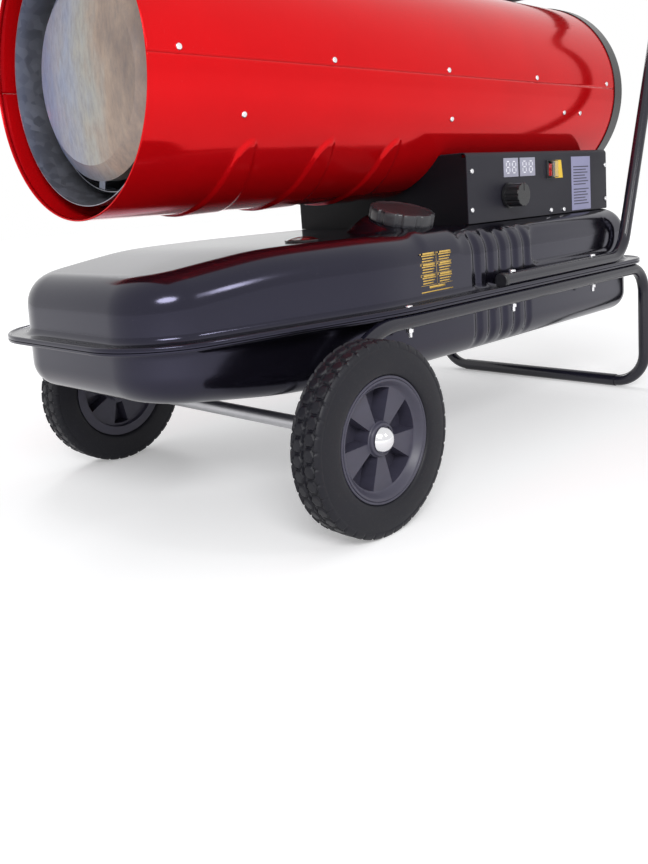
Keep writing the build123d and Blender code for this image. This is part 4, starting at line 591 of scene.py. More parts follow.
def upper_tank_points():
    """Upper skin: flange edge, cove, drafted wall, rounded shoulder and the top in to its middle line."""
    s = settings("heater_tank")
    plan = tank_plan()
    lip = SEAM_Z + FLANGE_LIP
    bead = [(0.6, 0.0), (0.0, 0.6), (0.0, 1.4), (0.0, 4.0), (0.5, 5.2), (1.6, 6.0), (3.0, 6.0), (4.0, 5.6)]
    ledge = [(4.7, 4.7), (5.8, 4.0), (12.0, 4.0), (18.0, 4.0)]
    edge_rows = [(d, SEAM_Z + z) for d, z in bead + ledge]
    foot = FLANGE_OVERHANG - s.cove
    for a in np.linspace(0, pi / 2, 7):
        edge_rows.append((foot + s.cove * sin(a), lip + s.cove * (1 - cos(a))))
    count = len(plan[0])
    fixed = np.tile(np.array(edge_rows).T[:, None], (1, count, 1))
    shoulder = FLANGE_OVERHANG + s.draft + s.shoulder
    crest = inset(plan, np.full((count, 1), shoulder))[:, 0]
    height = crown_height(crest[:, 0], crest[:, 1])[:, None]
    low = lip + s.cove
    share = np.linspace(0, 1, 27)[None, 1:]
    wall_z = low + (height - s.shoulder - low) * share
    wall_d = FLANGE_OVERHANG + s.draft * share + 0 * wall_z
    a = np.linspace(0, pi / 2, 11)[None, 1:]
    turn_z = height - s.shoulder + s.shoulder * np.sin(a)
    turn_d = FLANGE_OVERHANG + s.draft + s.shoulder * (1 - np.cos(a)) + 0 * turn_z
    d = np.concatenate([fixed[0], wall_d, turn_d], 1)
    z = np.concatenate([fixed[1], wall_z, turn_z], 1)
    pressed = on_flat_side(plan) * side_pressing(plan[0][:, 1:], z, upper=True) * (z > lip + 1)
    pressed *= smoothstep(lip, lip + s.cove, z)
    skirt = inset(plan, d + pressed)
    crowding = 0.92
    t = (np.linspace(0, 1, 31)[1:] ** crowding)[None, :, None]
    top = crest[:, None] * (1 - t) + middle_line(crest)[:, None] * t
    xy = np.concatenate([skirt, top], 1)
    z = np.concatenate([z, crown_height(top[..., 0], top[..., 1])], 1)
    return placed(xy[..., 0], xy[..., 1], z)


def lower_tank_points():
    """Lower skin: folded flange, cove, wall, wide rounded bilge and the bottom in to its middle line."""
    s = settings("heater_tank")
    plan = tank_plan()
    lip = SEAM_Z - FLANGE_LIP
    fold = [(0.6, 0.0), (0.0, 0.6), (0.0, 1.4), (0.0, 2.6), (0.5, 3.6), (1.4, 4.0), (10.0, 4.0), (18.0, 4.0)]
    edge_rows = [(d, SEAM_Z - z) for d, z in fold]
    foot = FLANGE_OVERHANG - s.cove
    for a in np.linspace(0, pi / 2, 6):
        edge_rows.append((foot + s.cove * sin(a), lip - s.cove * (1 - cos(a))))
    count = len(plan[0])
    fixed = np.tile(np.array(edge_rows).T[:, None], (1, count, 1))
    turn = FLANGE_OVERHANG + s.bilge
    ring = inset(plan, np.full((count, 1), turn))[:, 0]
    low = bottom_height(ring[:, 1])[:, None]
    share = np.linspace(0, 1, 9)[None, 1:]
    start = lip - s.cove
    wall_z = start + (low + s.bilge - start) * share
    a = np.linspace(0, pi / 2, 13)[None, 1:]
    turn_z = low + s.bilge * (1 - np.sin(a))
    turn_d = FLANGE_OVERHANG + s.bilge * (1 - np.cos(a)) + 0 * turn_z
    d = np.concatenate([fixed[0], np.full(wall_z.shape, FLANGE_OVERHANG), turn_d], 1)
    z = np.concatenate([fixed[1], wall_z, turn_z], 1)
    pressed = on_flat_side(plan) * side_pressing(plan[0][:, 1:], z, upper=False) * (z < lip - 1)
    pressed *= smoothstep(lip, lip - s.cove, z)
    skirt = inset(plan, d + pressed)
    t = np.linspace(0, 1, 13)[1:][None, :, None]
    flat = skirt[:, -1:] * (1 - t) + middle_line(ring)[:, None] * t
    xy = np.concatenate([skirt, flat], 1)
    z = np.concatenate([z, bottom_height(flat[..., 1])], 1)
    return placed(xy[..., 0], xy[..., 1], z)[:, ::-1]


def side_x(y, z):
    """X of the upper wall's face on the control side."""
    s = settings("heater_tank")
    crest = np.full(np.shape(y), FLANGE_HALF_W - FLANGE_OVERHANG - s.draft - s.shoulder)
    low = SEAM_Z + FLANGE_LIP + s.cove
    high = crown_height(crest, y) - s.shoulder
    leaned = s.draft * (z - low) / (high - low)
    return FLANGE_HALF_W - FLANGE_OVERHANG - leaned - side_pressing(y, z, upper=True)


# ---------------------------------------------------------------- barrel
def rib_height(angle, y):
    """Height of the pressed ribs over the barrel; angle is measured down from level, in degrees.

    Each rib steps up over a short front edge that curves back near its top end, falls away slowly
    towards its rear line and closes in a rounded end. The curve is an exponential at the top and a
    square near the bottom, the rear line is straight, and the steps are S-curves.
    """
    s = settings("heater_barrel")
    curl, curl_angle, curl_fade = 20, 31.5, 4.5
    toe, toe_angle, toe_fade = 3, 67, 22
    most_curl = 30
    rear_line, rear_angle, rear_lean = 38, 33, 0.76
    step = 7
    lost_height = 0.55
    end_from, end_to = 30.0, 33.5
    front = curl * np.exp(-(np.maximum(angle, 0) - curl_angle) / curl_fade)
    front = np.minimum(front + toe * (np.maximum(angle - toe_angle, 0) / toe_fade) ** 2, most_curl)
    rear = rear_line + rear_lean * (angle - rear_angle)
    end = smoothstep(end_from, end_to, angle)
    total = 0.0
    for i in range(s.rib_count):
        along = y - (s.rib_first + s.rib_pitch * i)
        rise = smoothstep(0, step, along - front)
        run = np.clip((along - front) / np.maximum(rear - front, 1), 0, 1)
        fall = smoothstep(0, -step, along - rear)
        total = total + s.rib_rise * rise * (1 - lost_height * run) * fall * end
    return total


def barrel_points(upper):
    """Half of the barrel: circle round the axis by length, with the ribs raised on the lower half.

    The steps along the lower half are finest over each rib's front edge, and fine over its fall.
    """
    s = settings("heater_barrel")
    front, rear = s.ends
    hem = [(6, 2.0), (0.8, 2.0), (0.2, 1.6), (0, 1.0), (0.2, 0.4), (0.8, 0.0)]
    hem_end, ahead, edge_end, fall_end = 2, 3, 32, 94
    if upper:
        places = steps((front + hem_end, rear, 60))
        angle = np.linspace(0, pi, 121)[:, None]
    else:
        starts = s.rib_first + s.rib_pitch * np.arange(s.rib_count)
        stretches = [(front + hem_end, s.rib_first - ahead, 12)]
        for start in starts:
            stretches.append((start - ahead, start + edge_end, 16))
            stretches.append((start + edge_end, start + fall_end, 22))
            stretches.append((start + fall_end, start + s.rib_pitch - ahead, 5))
        stretches[-1] = (starts[-1] + fall_end, rear, 30)
        places = steps(*stretches)
        angle = np.linspace(-pi, 0, 181)[:, None]
    hem_y, hem_tuck = np.array(hem).T
    y = np.concatenate([front + hem_y, places])[None]
    tuck = np.concatenate([hem_tuck, 0 * places])[None]
    down = np.degrees(np.minimum(-angle, pi + angle))
    ribs = 0 if upper else rib_height(down, y) * (tuck == 0)
    radius = BARREL_R - tuck + ribs + 0 * angle
    height = BARREL_Z + (s.seam if upper else 0)
    return placed(radius * np.cos(angle), y + 0 * angle, height + radius * np.sin(angle))[:, ::-1]


# ---------------------------------------------------------------- wheels
def tread_cut(x, turn, pitch):
    """Depth of the tread's cuts, 0 on a block.

    There is a groove round the middle, a staggered row of six-sided blocks on either side of it, with
    low webs between them, and a slotted shoulder outside each row. A block comes from the distance to
    the nearest side of a hexagon.
    """
    s = settings("heater_wheels")
    row, block_reach, web_reach, web_height, end_squash = 9.6, 7.0, 8.6, 0.55, 0.93
    groove_half, groove_depth, slot_half, slot_depth = 1.0, 1.4, 0.9, 0.8

    def along(shift):
        return ((turn / pitch + shift) % 1.0 - 0.5) * s.block_length

    across = np.abs(x)
    length = np.abs(along(np.where(x > 0, 0.0, 0.5)))
    side = np.maximum(np.abs(across - row) * cos(pi / 6) + length * sin(pi / 6), length * end_squash)
    block = 1 - smoothstep(-0.7, 0.7, side - block_reach)
    web = web_height * smoothstep(-0.8, 0.8, side - web_reach)
    groove = 1 - smoothstep(groove_half, groove_half + 1.0, across)
    inner = np.maximum(1 - np.maximum(block, web), groove * groove_depth)
    slot = 1 - smoothstep(slot_half, slot_half + 0.8, np.abs(along(0.25)))
    return s.tread_depth * np.where(across < TREAD_HALF_W, inner, slot * slot_depth)


def tyre_points(centre_x):
    """Tyre section carried round the axle with its tread cut in.

    The section is a list of (across, depth below the tread) for one side: a crown that is a parabola,
    then shoulder, bulging wall, bead and the seat on the rim. Its other side mirrors it.
    """
    s = settings("heater_wheels")
    half = s.tyre_width / 2
    curve = 0.004
    steps_per_block = 16
    cuts_from, cuts_full = 9.5, 6.0
    crown = [(x, curve * x * x) for x in np.linspace(0, TREAD_HALF_W, 19)]
    shoulder = [(19.6, 0.5), (20.8, 1.4), (21.9, 2.8), (22.8, 4.6), (23.4, 6.6), (23.7, 9.0)]
    wall = [(23.4, 9.8), (23.6, 10.6), (24.2, 14), (24.8, 19), (half, 25), (half, 31), (24.6, 37)]
    bead = [(23.8, 40.5), (22.6, 42.2), (21.8, 42.6), (21.2, 43.2), (18.9, 43.6), (18.9, 52.9)]
    right = np.array(crown + shoulder + wall + bead) * (1, -1) + (0, AXLE_Z)
    profile = np.concatenate([right[:0:-1] * (-1, 1), right])
    turns = np.linspace(0, 2 * pi, s.tread_blocks * steps_per_block, endpoint=False)
    pitch = 2 * pi / s.tread_blocks

    def cut(x, r, turn):
        outer = smoothstep(AXLE_Z - cuts_from, AXLE_Z - cuts_full, r)
        return x, r - tread_cut(x, turn, pitch) * outer

    x, y, z = turned(profile, turns, cut)
    return placed(x + centre_x, y, z + AXLE_Z)


def rim_points(centre_x, out):
    """Rim as a height over the wheel's face: lips, cove, flat spokes, closed pockets between them, hub.

    The face is a list of (radius, height) carried round in even turns, with closer ones at the edges of
    the pockets and of the hollows. The back is another, hollow behind each spoke, and the tyre's seat
    closes it.
    """
    s = settings("heater_wheels")
    lip = [(81.0, 18.5), (81.0, 20.8), (80.6, 21.6), (79.6, 22.0), (78.6, 22.0), (77.9, 21.6)]
    bead = [(77.3, 20.4), (76.8, 21.6), (76.0, 22.0), (75.2, 22.0), (74.4, 21.7), (73.6, 21.0)]
    cove = [(72.0, 19.0), (70.2, 16.6), (68.6, 14.6), (67.2, 13.0), (66.2, 12.2), (65.6, 12.0)]
    spoke = [(r, 12.0) for r in (65.0, 64.4, 60, 54, 48, 42, 36, 30, 26, 24.2, 23.6, 23.0)]
    hub = [(22.4, 12.4), (21.8, 13.6), (21.2, 16.2), (20.2, 17.0), (17.0, 17.0), (13.0, 17.0), (12.6, 16.4)]
    back_hub = [(12.6, -24), (22, -24), (22, -16), (22.5, -14), (25.6, -14)]
    back_spoke = [(26.2, -14), (61.6, -14), (62.2, -14), (64, -14)]
    back_lip = [(66, -15), (67, -22), (81, -22), (81, -19), (78, -18.6), (78, -18.4)]
    seat = [(72, -18.4), (72, 18.4), (78, 18.4), (78, 18.6)]
    pocket_inner, pocket_outer, hollow_inner, hollow_outer = 23.4, 65.2, 26.0, 62.0
    even_degrees, edge_turn, edge_soft = 3, radians(0.7), radians(0.4)

    pitch = 2 * pi / s.spokes
    half = s.window_angle / 2
    hollow_start = half + s.rib_angle
    middles = pi / 2 + pitch * np.arange(s.spokes)
    edges = np.add.outer(middles, [-half, -hollow_start, half, hollow_start])
    close = np.add.outer(edges, [-edge_turn, 0.0, edge_turn]).ravel()
    turns = np.concatenate([close, np.radians(np.arange(0, 360, even_degrees))]) % (2 * pi)
    angle = np.unique(np.round(turns, 5))[:, None]
    off = np.abs(((angle - pi / 2) + pitch / 2) % pitch - pitch / 2)

    r, x = np.array(lip + bead + cove + spoke + hub).T
    inside = smoothstep(half + edge_soft, half - edge_soft, off)
    inside = inside * ((r < pocket_outer) & (r > pocket_inner))
    face = x * (1 - inside) - s.pocket_floor * inside
    back_r, back_x = np.array(back_hub + back_spoke + back_lip + seat).T
    hollow = smoothstep(hollow_start - edge_soft, hollow_start + edge_soft, off)
    hollow = hollow * ((back_r > hollow_inner) & (back_r < hollow_outer))
    back = back_x + (s.spoke_back - back_x) * hollow
    x = np.concatenate([face, back], 1)
    r = np.concatenate([r, back_r])
    points = placed(centre_x + out * x, r * np.cos(angle), AXLE_Z + r * np.sin(angle))
    return points[:, ::-1] if out > 0 else points


# ---------------------------------------------------------------- filler cap and deflector
def cap_points():
    """Screw cap turned about the filler's axis; its side is cut into broad lobes with narrow valleys."""
    s = settings("heater_tank")
    t = settings("heater_trim")
    radius, low, top = t.cap_radius, t.cap_low, t.cap_top
    inner = 41.0
    steps_per_lobe = 24
    valley_half, valley_end = 0.10, 0.20
    lobes_from, lobes_full = 6.5, 3.0
    profile = [(top - 5, 0.0), (top - 5, inner - 1), (top - 6, inner), (low + 0.4, inner), (low, inner + 0.5),
               (low, radius - 1.6), (low + 0.5, radius - 0.5), (low + 1.6, radius), (low + 6, radius),
               (low + 10, radius), (low + 14, radius), (top - 3.2, radius), (top - 1.8, radius - 0.4),
               (top - 0.8, radius - 1.2), (top - 0.2, radius - 2.4), (top, radius - 4.0), (top, radius - 7.0),
               (top - 0.3, radius - 8.0), (top - 1.1, radius - 8.8), (top - 1.3, radius - 10),
               (top - 1.3, 20), (top - 1.3, 0.0)]
    turns = np.linspace(0, 2 * pi, t.cap_lobes * steps_per_lobe, endpoint=False)

    def lobes(along, r, turn):
        place = (turn * t.cap_lobes / (2 * pi)) % 1.0
        valley = 1 - smoothstep(valley_half, valley_end, np.abs(place - 0.5))
        reach = smoothstep(radius - lobes_from, radius - lobes_full, r)
        return along, r - t.cap_valley * valley * reach

    along, u, v = turned(profile, turns, lobes)
    tilt = s.mound_tilt
    cx, cy, cz = s.mound_at
    return placed(cx + u * cos(tilt) + along * sin(tilt), cy + v, cz - u * sin(tilt) + along * cos(tilt))


# ---------------------------------------------------------------- settings
def size(name, default, about, low=0.0):
    """Length property, written in design millimetres and kept in metres."""
    return bpy.props.FloatProperty(name=name, default=default * MM, description=about, min=low * MM,
                                   subtype="DISTANCE", unit="LENGTH")


def lengths(name, default, about):
    """Several lengths in one property, written in design millimetres and kept in metres."""
    metres = [value * MM for value in default]
    return bpy.props.FloatVectorProperty(name=name, default=metres, description=about, size=len(metres),
                                         unit="LENGTH")


def slant(name, default, about):
    """Angle property, written in degrees and kept in radians."""
    return bpy.props.FloatProperty(name=name, default=radians(default), description=about, min=0.0,
                                   subtype="ANGLE", unit="ROTATION")


def factor(name, default, about):
    """Plain number from 0 to 1."""
    return bpy.props.FloatProperty(name=name, default=default, description=about, min=0.0, max=1.0,
                                   subtype="FACTOR")


def watts(name, default, about):
    """Power of a lamp."""
    return bpy.props.FloatProperty(name=name, default=default, description=about, min=0.0,
                                   subtype="POWER", unit="POWER")


def number(name, default, about, least=1):
    """How many of something."""
    return bpy.props.IntProperty(name=name, default=default, description=about, min=least)


def colour(name, default, about):
    """Linear colour property."""
    return bpy.props.FloatVectorProperty(name=name, default=default, description=about, subtype="COLOR",
                                         size=3, min=0.0, max=1.0)


class HeaterTankSettings(bpy.types.PropertyGroup):
    """Shape and paint of the fuel tank."""

    paint: colour("Tank paint", (0.004, 0.0036, 0.0062), "Gloss enamel of both tank halves")
    cove: size("Cove", 9.0, "Radius between the flange and the wall")
    draft: size("Draft", 0.5, "How far the wall leans in up to its shoulder")
    shoulder: size("Shoulder", 45.0, "Radius between the wall and the top")
    bilge: size("Bilge", 37.0, "Radius between the wall and the bottom")
    bottom: size("Bottom", 169.0, "Height of the tank's underside")
    wall: size("Wall", 1.5, "Thickness of the pressed sheet")
    slope: factor("Slope", 0.135, "Fall of the top towards the front")
    bottom_slope: factor("Bottom slope", 0.122, "Rise of the underside towards the front")
    slope_start: size("Slope start", -40.0, "Where the top starts to fall", FLANGE_FRONT)
    bottom_slope_start: size("Bottom slope start", -26.0, "Where the underside starts to rise", FLANGE_FRONT)
    slope_blend: size("Slope blend", 40.0, "Length over which both begin")
    mound_at: lengths("Filler", (148.9, 261.0, 382.0), "Middle of the mound's flat top")
    mound_tilt: slant("Mound tilt", 16.0, "Lean of the filler towards the control side")
    mound_top: size("Mound top", 50.0, "Radius of the mound's flat top")
    mound_foot: size("Mound foot", 112.0, "Radius where the mound's side ends")
    mound_fall: size("Mound fall", 60.0, "Height of the mound's side")
    mound_blend: size("Mound blend", 7.0, "Softness of the hollow round the mound")
    groove_first: size("First groove", 342.0, "Middle of the first groove, behind the axle")
    groove_pitch: size("Groove pitch", 36.0, "Distance between grooves")
    groove_count: number("Grooves", 5, "Grooves on each side")
    groove_half_width: size("Groove half width", 13.5, "From a groove's middle to its edge")
    groove_depth: size("Groove depth", 3.6, "Depth of each groove")
    groove_top: size("Groove top", 362.0, "Height where the grooves have died away")
    panel: lengths("Panel", (506.0, 797.0, 292.0, 350.0), "Long pressed panel: front, rear, low and high")
    panel_depth: size("Panel depth", 6.0, "Depth of the long panel")
    panel_front_r: size("Panel front corners", 18.0, "Radius of its front corners")
    panel_rear_r: size("Panel rear corners", 28.0, "Radius of its rear corners")


class HeaterBarrelSettings(bpy.types.PropertyGroup):
    """Shape and paint of the barrel."""

    paint: colour("Barrel paint", (0.64, 0.003, 0.006), "Gloss enamel of the barrel")
    ends: lengths("Ends", (BARREL_FRONT, BARREL_REAR), "Front and rear of the barrel, behind the axle")
    wall: size("Wall", 1.2, "Thickness of the sheet")
    seam: size("Seam", 0.2, "Gap between the halves")
    rib_first: size("First rib", -63.0, "Front of the first rib, behind the axle", BARREL_FRONT)
    rib_pitch: size("Rib pitch", 145.0, "Distance between ribs")
    rib_count: number("Ribs", 3, "Pressed ribs under the barrel")
    rib_rise: size("Rib rise", 4.0, "Height of each rib")


class HeaterWheelSettings(bpy.types.PropertyGroup):
    """Tyres and rims."""

    rubber: colour("Rubber", (0.0045, 0.0045, 0.0085), "Tyre compound")
    plastic: colour("Rim", (0.044, 0.042, 0.066), "Rim moulding")
    middle_x: size("Half track", 302.5, "Middle plane of each wheel, from the heater's centre")
    tyre_width: size("Tyre width", 50.0, "Width of the tyre")
    tread_depth: size("Tread depth", 2.4, "Depth of the cuts between the blocks")
    tread_blocks: number("Blocks", 40, "Blocks in each row", least=8)
    block_length: size("Block length", 19.6, "Pitch of the blocks")
    spokes: number("Spokes", 5, "Spokes of the rim", least=3)
    window_angle: slant("Pockets", 38.0, "Width of a pocket")
    pocket_floor: size("Pocket floor", 11.0, "Floor of the pockets behind the middle plane")
    rib_angle: slant("Pocket wall", 5.0, "Wall beside a pocket")
    spoke_back: size("Spoke back", 9.0, "Back of the spokes in front of the middle plane")


class HeaterTrimSettings(bpy.types.PropertyGroup):
    """Filler cap, and the paint of the frame and the control box."""

    cap_plastic: colour("Cap plastic", (0.030, 0.030, 0.035), "Filler cap moulding")
    frame_paint: colour("Frame paint", (0.010, 0.0095, 0.018), "Frame tubes")
    box_paint: colour("Box paint", (0.016, 0.0155, 0.023), "Control box sheet")
    cap_radius: size("Cap radius", 50.5, "Over the lobes")
    cap_low: size("Cap foot", 0.8, "Above the mound's top")
    cap_top: size("Cap top", 21.8, "Above the mound's top")
    cap_lobes: number("Lobes", 10, "Grip lobes round the cap", least=3)
    cap_valley: size("Cap valley", 3.0, "Depth between lobes")


class HeaterPrintSettings(bpy.types.PropertyGroup):
    """Printed films, ruled lines and display figures."""

    display_a: lengths("First display", (482.0, 526.0), "Front and rear of its window")
    display_b: lengths("Second display", (532.0, 580.0), "Front and rear of its window")
    display_z: size("Display height", 456.5, "Middle of the figures above the floor")
    display_proud: size("Window", 1.0, "How far the windows stand out of the panel")
    digit_width: size("Figure width", 10.5, "Between the middles of a figure's upright bars")
    digit_height: size("Figure height", 19.0, "Between the middles of its top and bottom bars")
    print_lift: size("Print", 0.15, "Thickness of a printed line")
    plate: lengths("Data plate", (707.0, 778.0, 372.0, 471.0), "Front, rear, low and high")
    plate_thick: size("Plate", 0.5, "Thickness of the data plate")
    plate_lines: number("Plate lines", 7, "Lines in the upper block")
    plate_pitch: size("Line pitch", 5.4, "From one line to the next")
    plate_stroke: size("Line weight", 2.0, "Height of a line")
    plate_margin: size("Margin", 7.0, "From the plate's edge to its lines")
    patch: lengths("Yellow film", (645.0, 676.0, 434.0, 466.0), "Front, rear, low and high")
    patch_slant: size("Slant", 5.0, "How far its upright edges lean in")
    label: lengths("Tank label", (203.0, 279.0, 279.5, 338.0), "Front, rear, low and high")
    label_rows: number("Label rows", 3, "Rows of cells")
    label_head: size("Heading", 3.0, "Height of the bar over each cell")
    label_line: size("Label line", 3.9, "From one line to the next")
    label_stroke: size("Label weight", 1.8, "Height of a line")
    label_rule: size("Label rule", 0.6, "Width of the rules between cells")
    label_gap: size("Label gap", 1.8, "Half the gap between the columns")


class HeaterStageSettings(bpy.types.PropertyGroup):
    """Floor and light."""

    floor: colour("Floor", (0.86, 0.86, 0.87), "Floor and backdrop")
    glow: factor("Glow", 0.28, "Floor's own white under the heater")
    glow_out: factor("Far glow", 0.6, "Floor's own white far away")
    glow_near: size("Glow start", 900.0, "Where the far glow begins")
    glow_far: size("Glow end", 2600.0, "Where the far glow is full")
    ambient: factor("Ambient", 0.62, "Light from all round")
    key: watts("Key lamp", 52.0, "Main soft box")
    side: watts("Side lamp", 2.5, "Small soft box")
    fill: watts("Fill lamp", 25.0, "Soft box behind")


SETTINGS = {
    "heater_tank": HeaterTankSettings,
    "heater_barrel": HeaterBarrelSettings,
    "heater_wheels": HeaterWheelSettings,
    "heater_trim": HeaterTrimSettings,
    "heater_print": HeaterPrintSettings,
    "heater_stage": HeaterStageSettings,
}


def settings(name):
    """Values of one group: lengths in millimetres, angles in radians and colours as tuples."""
    group = getattr(bpy.context.scene, name)
    values = {}
    for key in SETTINGS[name].__annotations__:
        value = getattr(group, key)
        if group.bl_rna.properties[key].unit == "LENGTH":
            values[key] = np.round(np.divide(value, MM), 3)
        else:
            values[key] = tuple(value) if np.ndim(value) else value
    return SimpleNamespace(**values)


def dress(finish, *nodes):
    """Gives CAD nodes that keep their shape a finish."""
    for name in nodes:
        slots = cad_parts[name].material_slots
        if not slots:
            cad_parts[name].data.materials.append(finish.material)
        for slot in slots:
            slot.material = finish.material


# ---------------------------------------------------------------- operators
class HEATER_OT_tank(bpy.types.Operator):
    """Both tank skins with their flange, grooves, panels and filler mound"""

    bl_idname = "heater.tank"
    bl_label = "Tank"

    def execute(self, context):
        s = settings("heater_tank")
        paint = gloss_paint("TankPaint", s.paint, roughness=0.13, specular=0.75, tint=(0.49, 0.48, 0.70))
        axis = np.array([sin(s.mound_tilt), 0, cos(s.mound_tilt)])
        middle = placed(*s.mound_at)
        neck_hole, mound_low = 34 * MM, 350 * MM

        def clear_of_neck(centres):
            away = centres - middle
            away = away - (away @ axis)[:, None] * axis
            return (np.linalg.norm(away, axis=1) > neck_hole) | (centres[:, 2] < mound_low)

        upper = surface("tank_upper_skin", upper_tank_points(), "heater", paint,
                        close_rows=True, keep=clear_of_neck, replaces=["tank_upper_shell"])
        lower = surface("tank_lower_skin", lower_tank_points(), "heater", paint,
                        close_rows=True, replaces=["tank_lower_shell"])
        for skin in (upper, lower):
            thicken(skin, s.wall)
        self.label(settings("heater_print"))
        return {"FINISHED"}

    def label(self, p):
        """Plain ruled label on the control side: gold bars that follow the wall.

        Two columns of cells, each with a bullet, a heading, ragged lines and a rule under it, then a rule
        between the columns and two bars below. A bar is (front, rear, low, high).
        """
        low_y, high_y, low_z, high_z = p.label
        middle = (low_y + high_y) / 2
        rule, line = p.label_rule, p.label_line
        tops = np.linspace(high_z, low_z + 2.5 * line, p.label_rows + 1)
        bars = []
        for top, foot in zip(tops[:-1], tops[1:]):
            for start, end in ((low_y, middle - p.label_gap), (middle + p.label_gap, high_y)):
                bars += self.cell(p, start, end, top, foot)
        bars.append((middle - rule / 2, middle + rule / 2, tops[-1] + rule, high_z))
        quarter = (high_y - low_y) / 4
        bars.append((middle - quarter, middle + quarter, low_z + 1.4 * line, low_z + 2.3 * line))
        bars.append((low_y, high_y, low_z, low_z + p.label_stroke))

        along, up = np.linspace(0, 1, 5)[:, None], np.linspace(0, 1, 2)
        front, rear, low, high = np.array(bars).T[:, :, None, None]
        y, z = np.broadcast_arrays(front + (rear - front) * along, low + (high - low) * up)
        points = placed(side_x(y, z) + p.print_lift, y, z)
        first = along.size * up.size * np.arange(len(bars))
        faces = (grid_faces(along.size, up.size) + first[:, None, None]).reshape(-1, 4)
        gold = printed_film("LabelGold", (0.62, 0.40, 0.08), roughness=0.4)
        made = piece("tank_label", points.reshape(-1, 3), faces, "heater", gold)
        thicken(made, p.print_lift)

    def cell(self, p, start, end, top, foot):
        """Bars of one cell; the lines' ends wander by fixed shares of its width."""
        width = end - start
        head, rule = p.label_head, p.label_rule
        bullet = (start, start + 0.07 * width, top - 0.8 * head, top - 0.2 * head)
        heading = (start + 0.18 * width, end - 0.06 * width, top - head, top)
        bars = [bullet, heading]
        for i, z in enumerate(np.arange(top - head - rule, foot + p.label_line, -p.label_line)):
            left = start + width * (0.10 + 0.05 * (i * 0.7 % 1.0))
            right = end - width * (0.03 + 0.18 * (i * 0.45 % 1.0))
            bars.append((left, right, z - p.label_stroke, z))
        bars.append((start, end, foot + rule, foot + 2 * rule))
        return bars


class HEATER_OT_barrel(bpy.types.Operator):
    """Both barrel halves with the hemmed mouth and the pressed ribs"""

    bl_idname = "heater.barrel"
    bl_label = "Barrel"

    def execute(self, context):
        s = settings("heater_barrel")
        paint = gloss_paint("BarrelPaint", s.paint, roughness=0.09, coat=0.03, flake=0.38, specular=0.12)
        for name, upper in (("barrel_lower", False), ("barrel_upper", True)):
            half = surface(f"{name}_skin", barrel_points(upper), "heater", paint,
                           replaces=[f"{name}_shell"])
            thicken(half, s.wall)
        return {"FINISHED"}


class HEATER_OT_wheels(bpy.types.Operator):
    """Treaded tyres and moulded rims with closed pockets between the spokes"""

    bl_idname = "heater.wheels"
    bl_label = "Wheels"

    def execute(self, context):
        s = settings("heater_wheels")
        rubber = tyre_compound("TyreRubber", s.rubber)
        plastic = moulded_plastic("RimPlastic", s.plastic, 0.42)
        for side, out in (("right", 1), ("left", -1)):
            body = f"wheel_{side}"
            surface(f"tyre_{side}_tread", tyre_points(out * s.middle_x), body, rubber,
                    close_rows=True, close_columns=True, replaces=[f"tyre_{side}"])
            surface(f"rim_{side}_moulding", rim_points(out * s.middle_x, out), body, plastic,
                    close_rows=True, close_columns=True, replaces=[f"rim_{side}"])
        dress(moulded_plastic("Bushes", (0.55, 0.54, 0.50), 0.4), "bushes_right", "bushes_left")
        dress(bright_metal("Chrome", (0.80, 0.80, 0.82), 0.12, tarnish=0.05), "hub_caps")
        drawn = bright_metal("AxleSteel", (0.52, 0.52, 0.54), 0.32, brushed=(0.05, 1.0, 1.0))
        dress(drawn, "axle", "axle_spacers")
        return {"FINISHED"}


class HEATER_OT_filler(bpy.types.Operator):
    """Lobed filler cap, neck, strainer and fuel gauge"""

    bl_idname = "heater.filler"
    bl_label = "Filler and gauge"

    def execute(self, context):
        plastic = moulded_plastic("CapPlastic", settings("heater_trim").cap_plastic, 0.3)
        surface("filler_cap_moulding", cap_points(), "cap", plastic,
                close_rows=True, replaces=["filler_cap"])
        zinc = bright_metal("ZincPlate", (0.62, 0.61, 0.60), 0.3)
        dress(zinc, "filler_neck", "filler_strainer")
        dress(satin_paint("Gasket", (0.012, 0.012, 0.012), 0.6), "filler_gasket")
        dress(moulded_plastic("GaugeDial", (0.020, 0.012, 0.014), 0.25), "gauge_body")
        dress(clear_moulding("GaugeWindow", (0.93, 0.90, 0.90)), "gauge_lens")
        dress(moulded_plastic("GaugeNeedle", (0.55, 0.02, 0.02), 0.35), "gauge_needle")
        dress(moulded_plastic("FloatFoam", (0.70, 0.69, 0.66), 0.6, grain=600.0), "gauge_float")
        return {"FINISHED"}


class HEATER_OT_frame(bpy.types.Operator):
    """Frame tubes, handle, stand and their fasteners"""

    bl_idname = "heater.frame"
    bl_label = "Frame and handle"

    def execute(self, context):
        paint = satin_paint("FramePaint", settings("heater_trim").frame_paint, 0.2, grain=420.0, depth=0.06)
        dress(paint, "frame_tube_right", "frame_tube_left", "handle_tube_right", "handle_tube_left",
              "handle_cross_bar", "stand_cross_tube")
        dress(tyre_compound("GripRubber", (0.014, 0.014, 0.015)), "handle_grip")
        dress(moulded_plastic("EndCaps", (0.013, 0.013, 0.016), 0.35), "handle_end_caps")
        zinc = bright_metal("Fasteners", (0.82, 0.82, 0.84), 0.25, tarnish=0.06)
        dress(zinc, "frame_fasteners", "housing_screws")
        return {"FINISHED"}


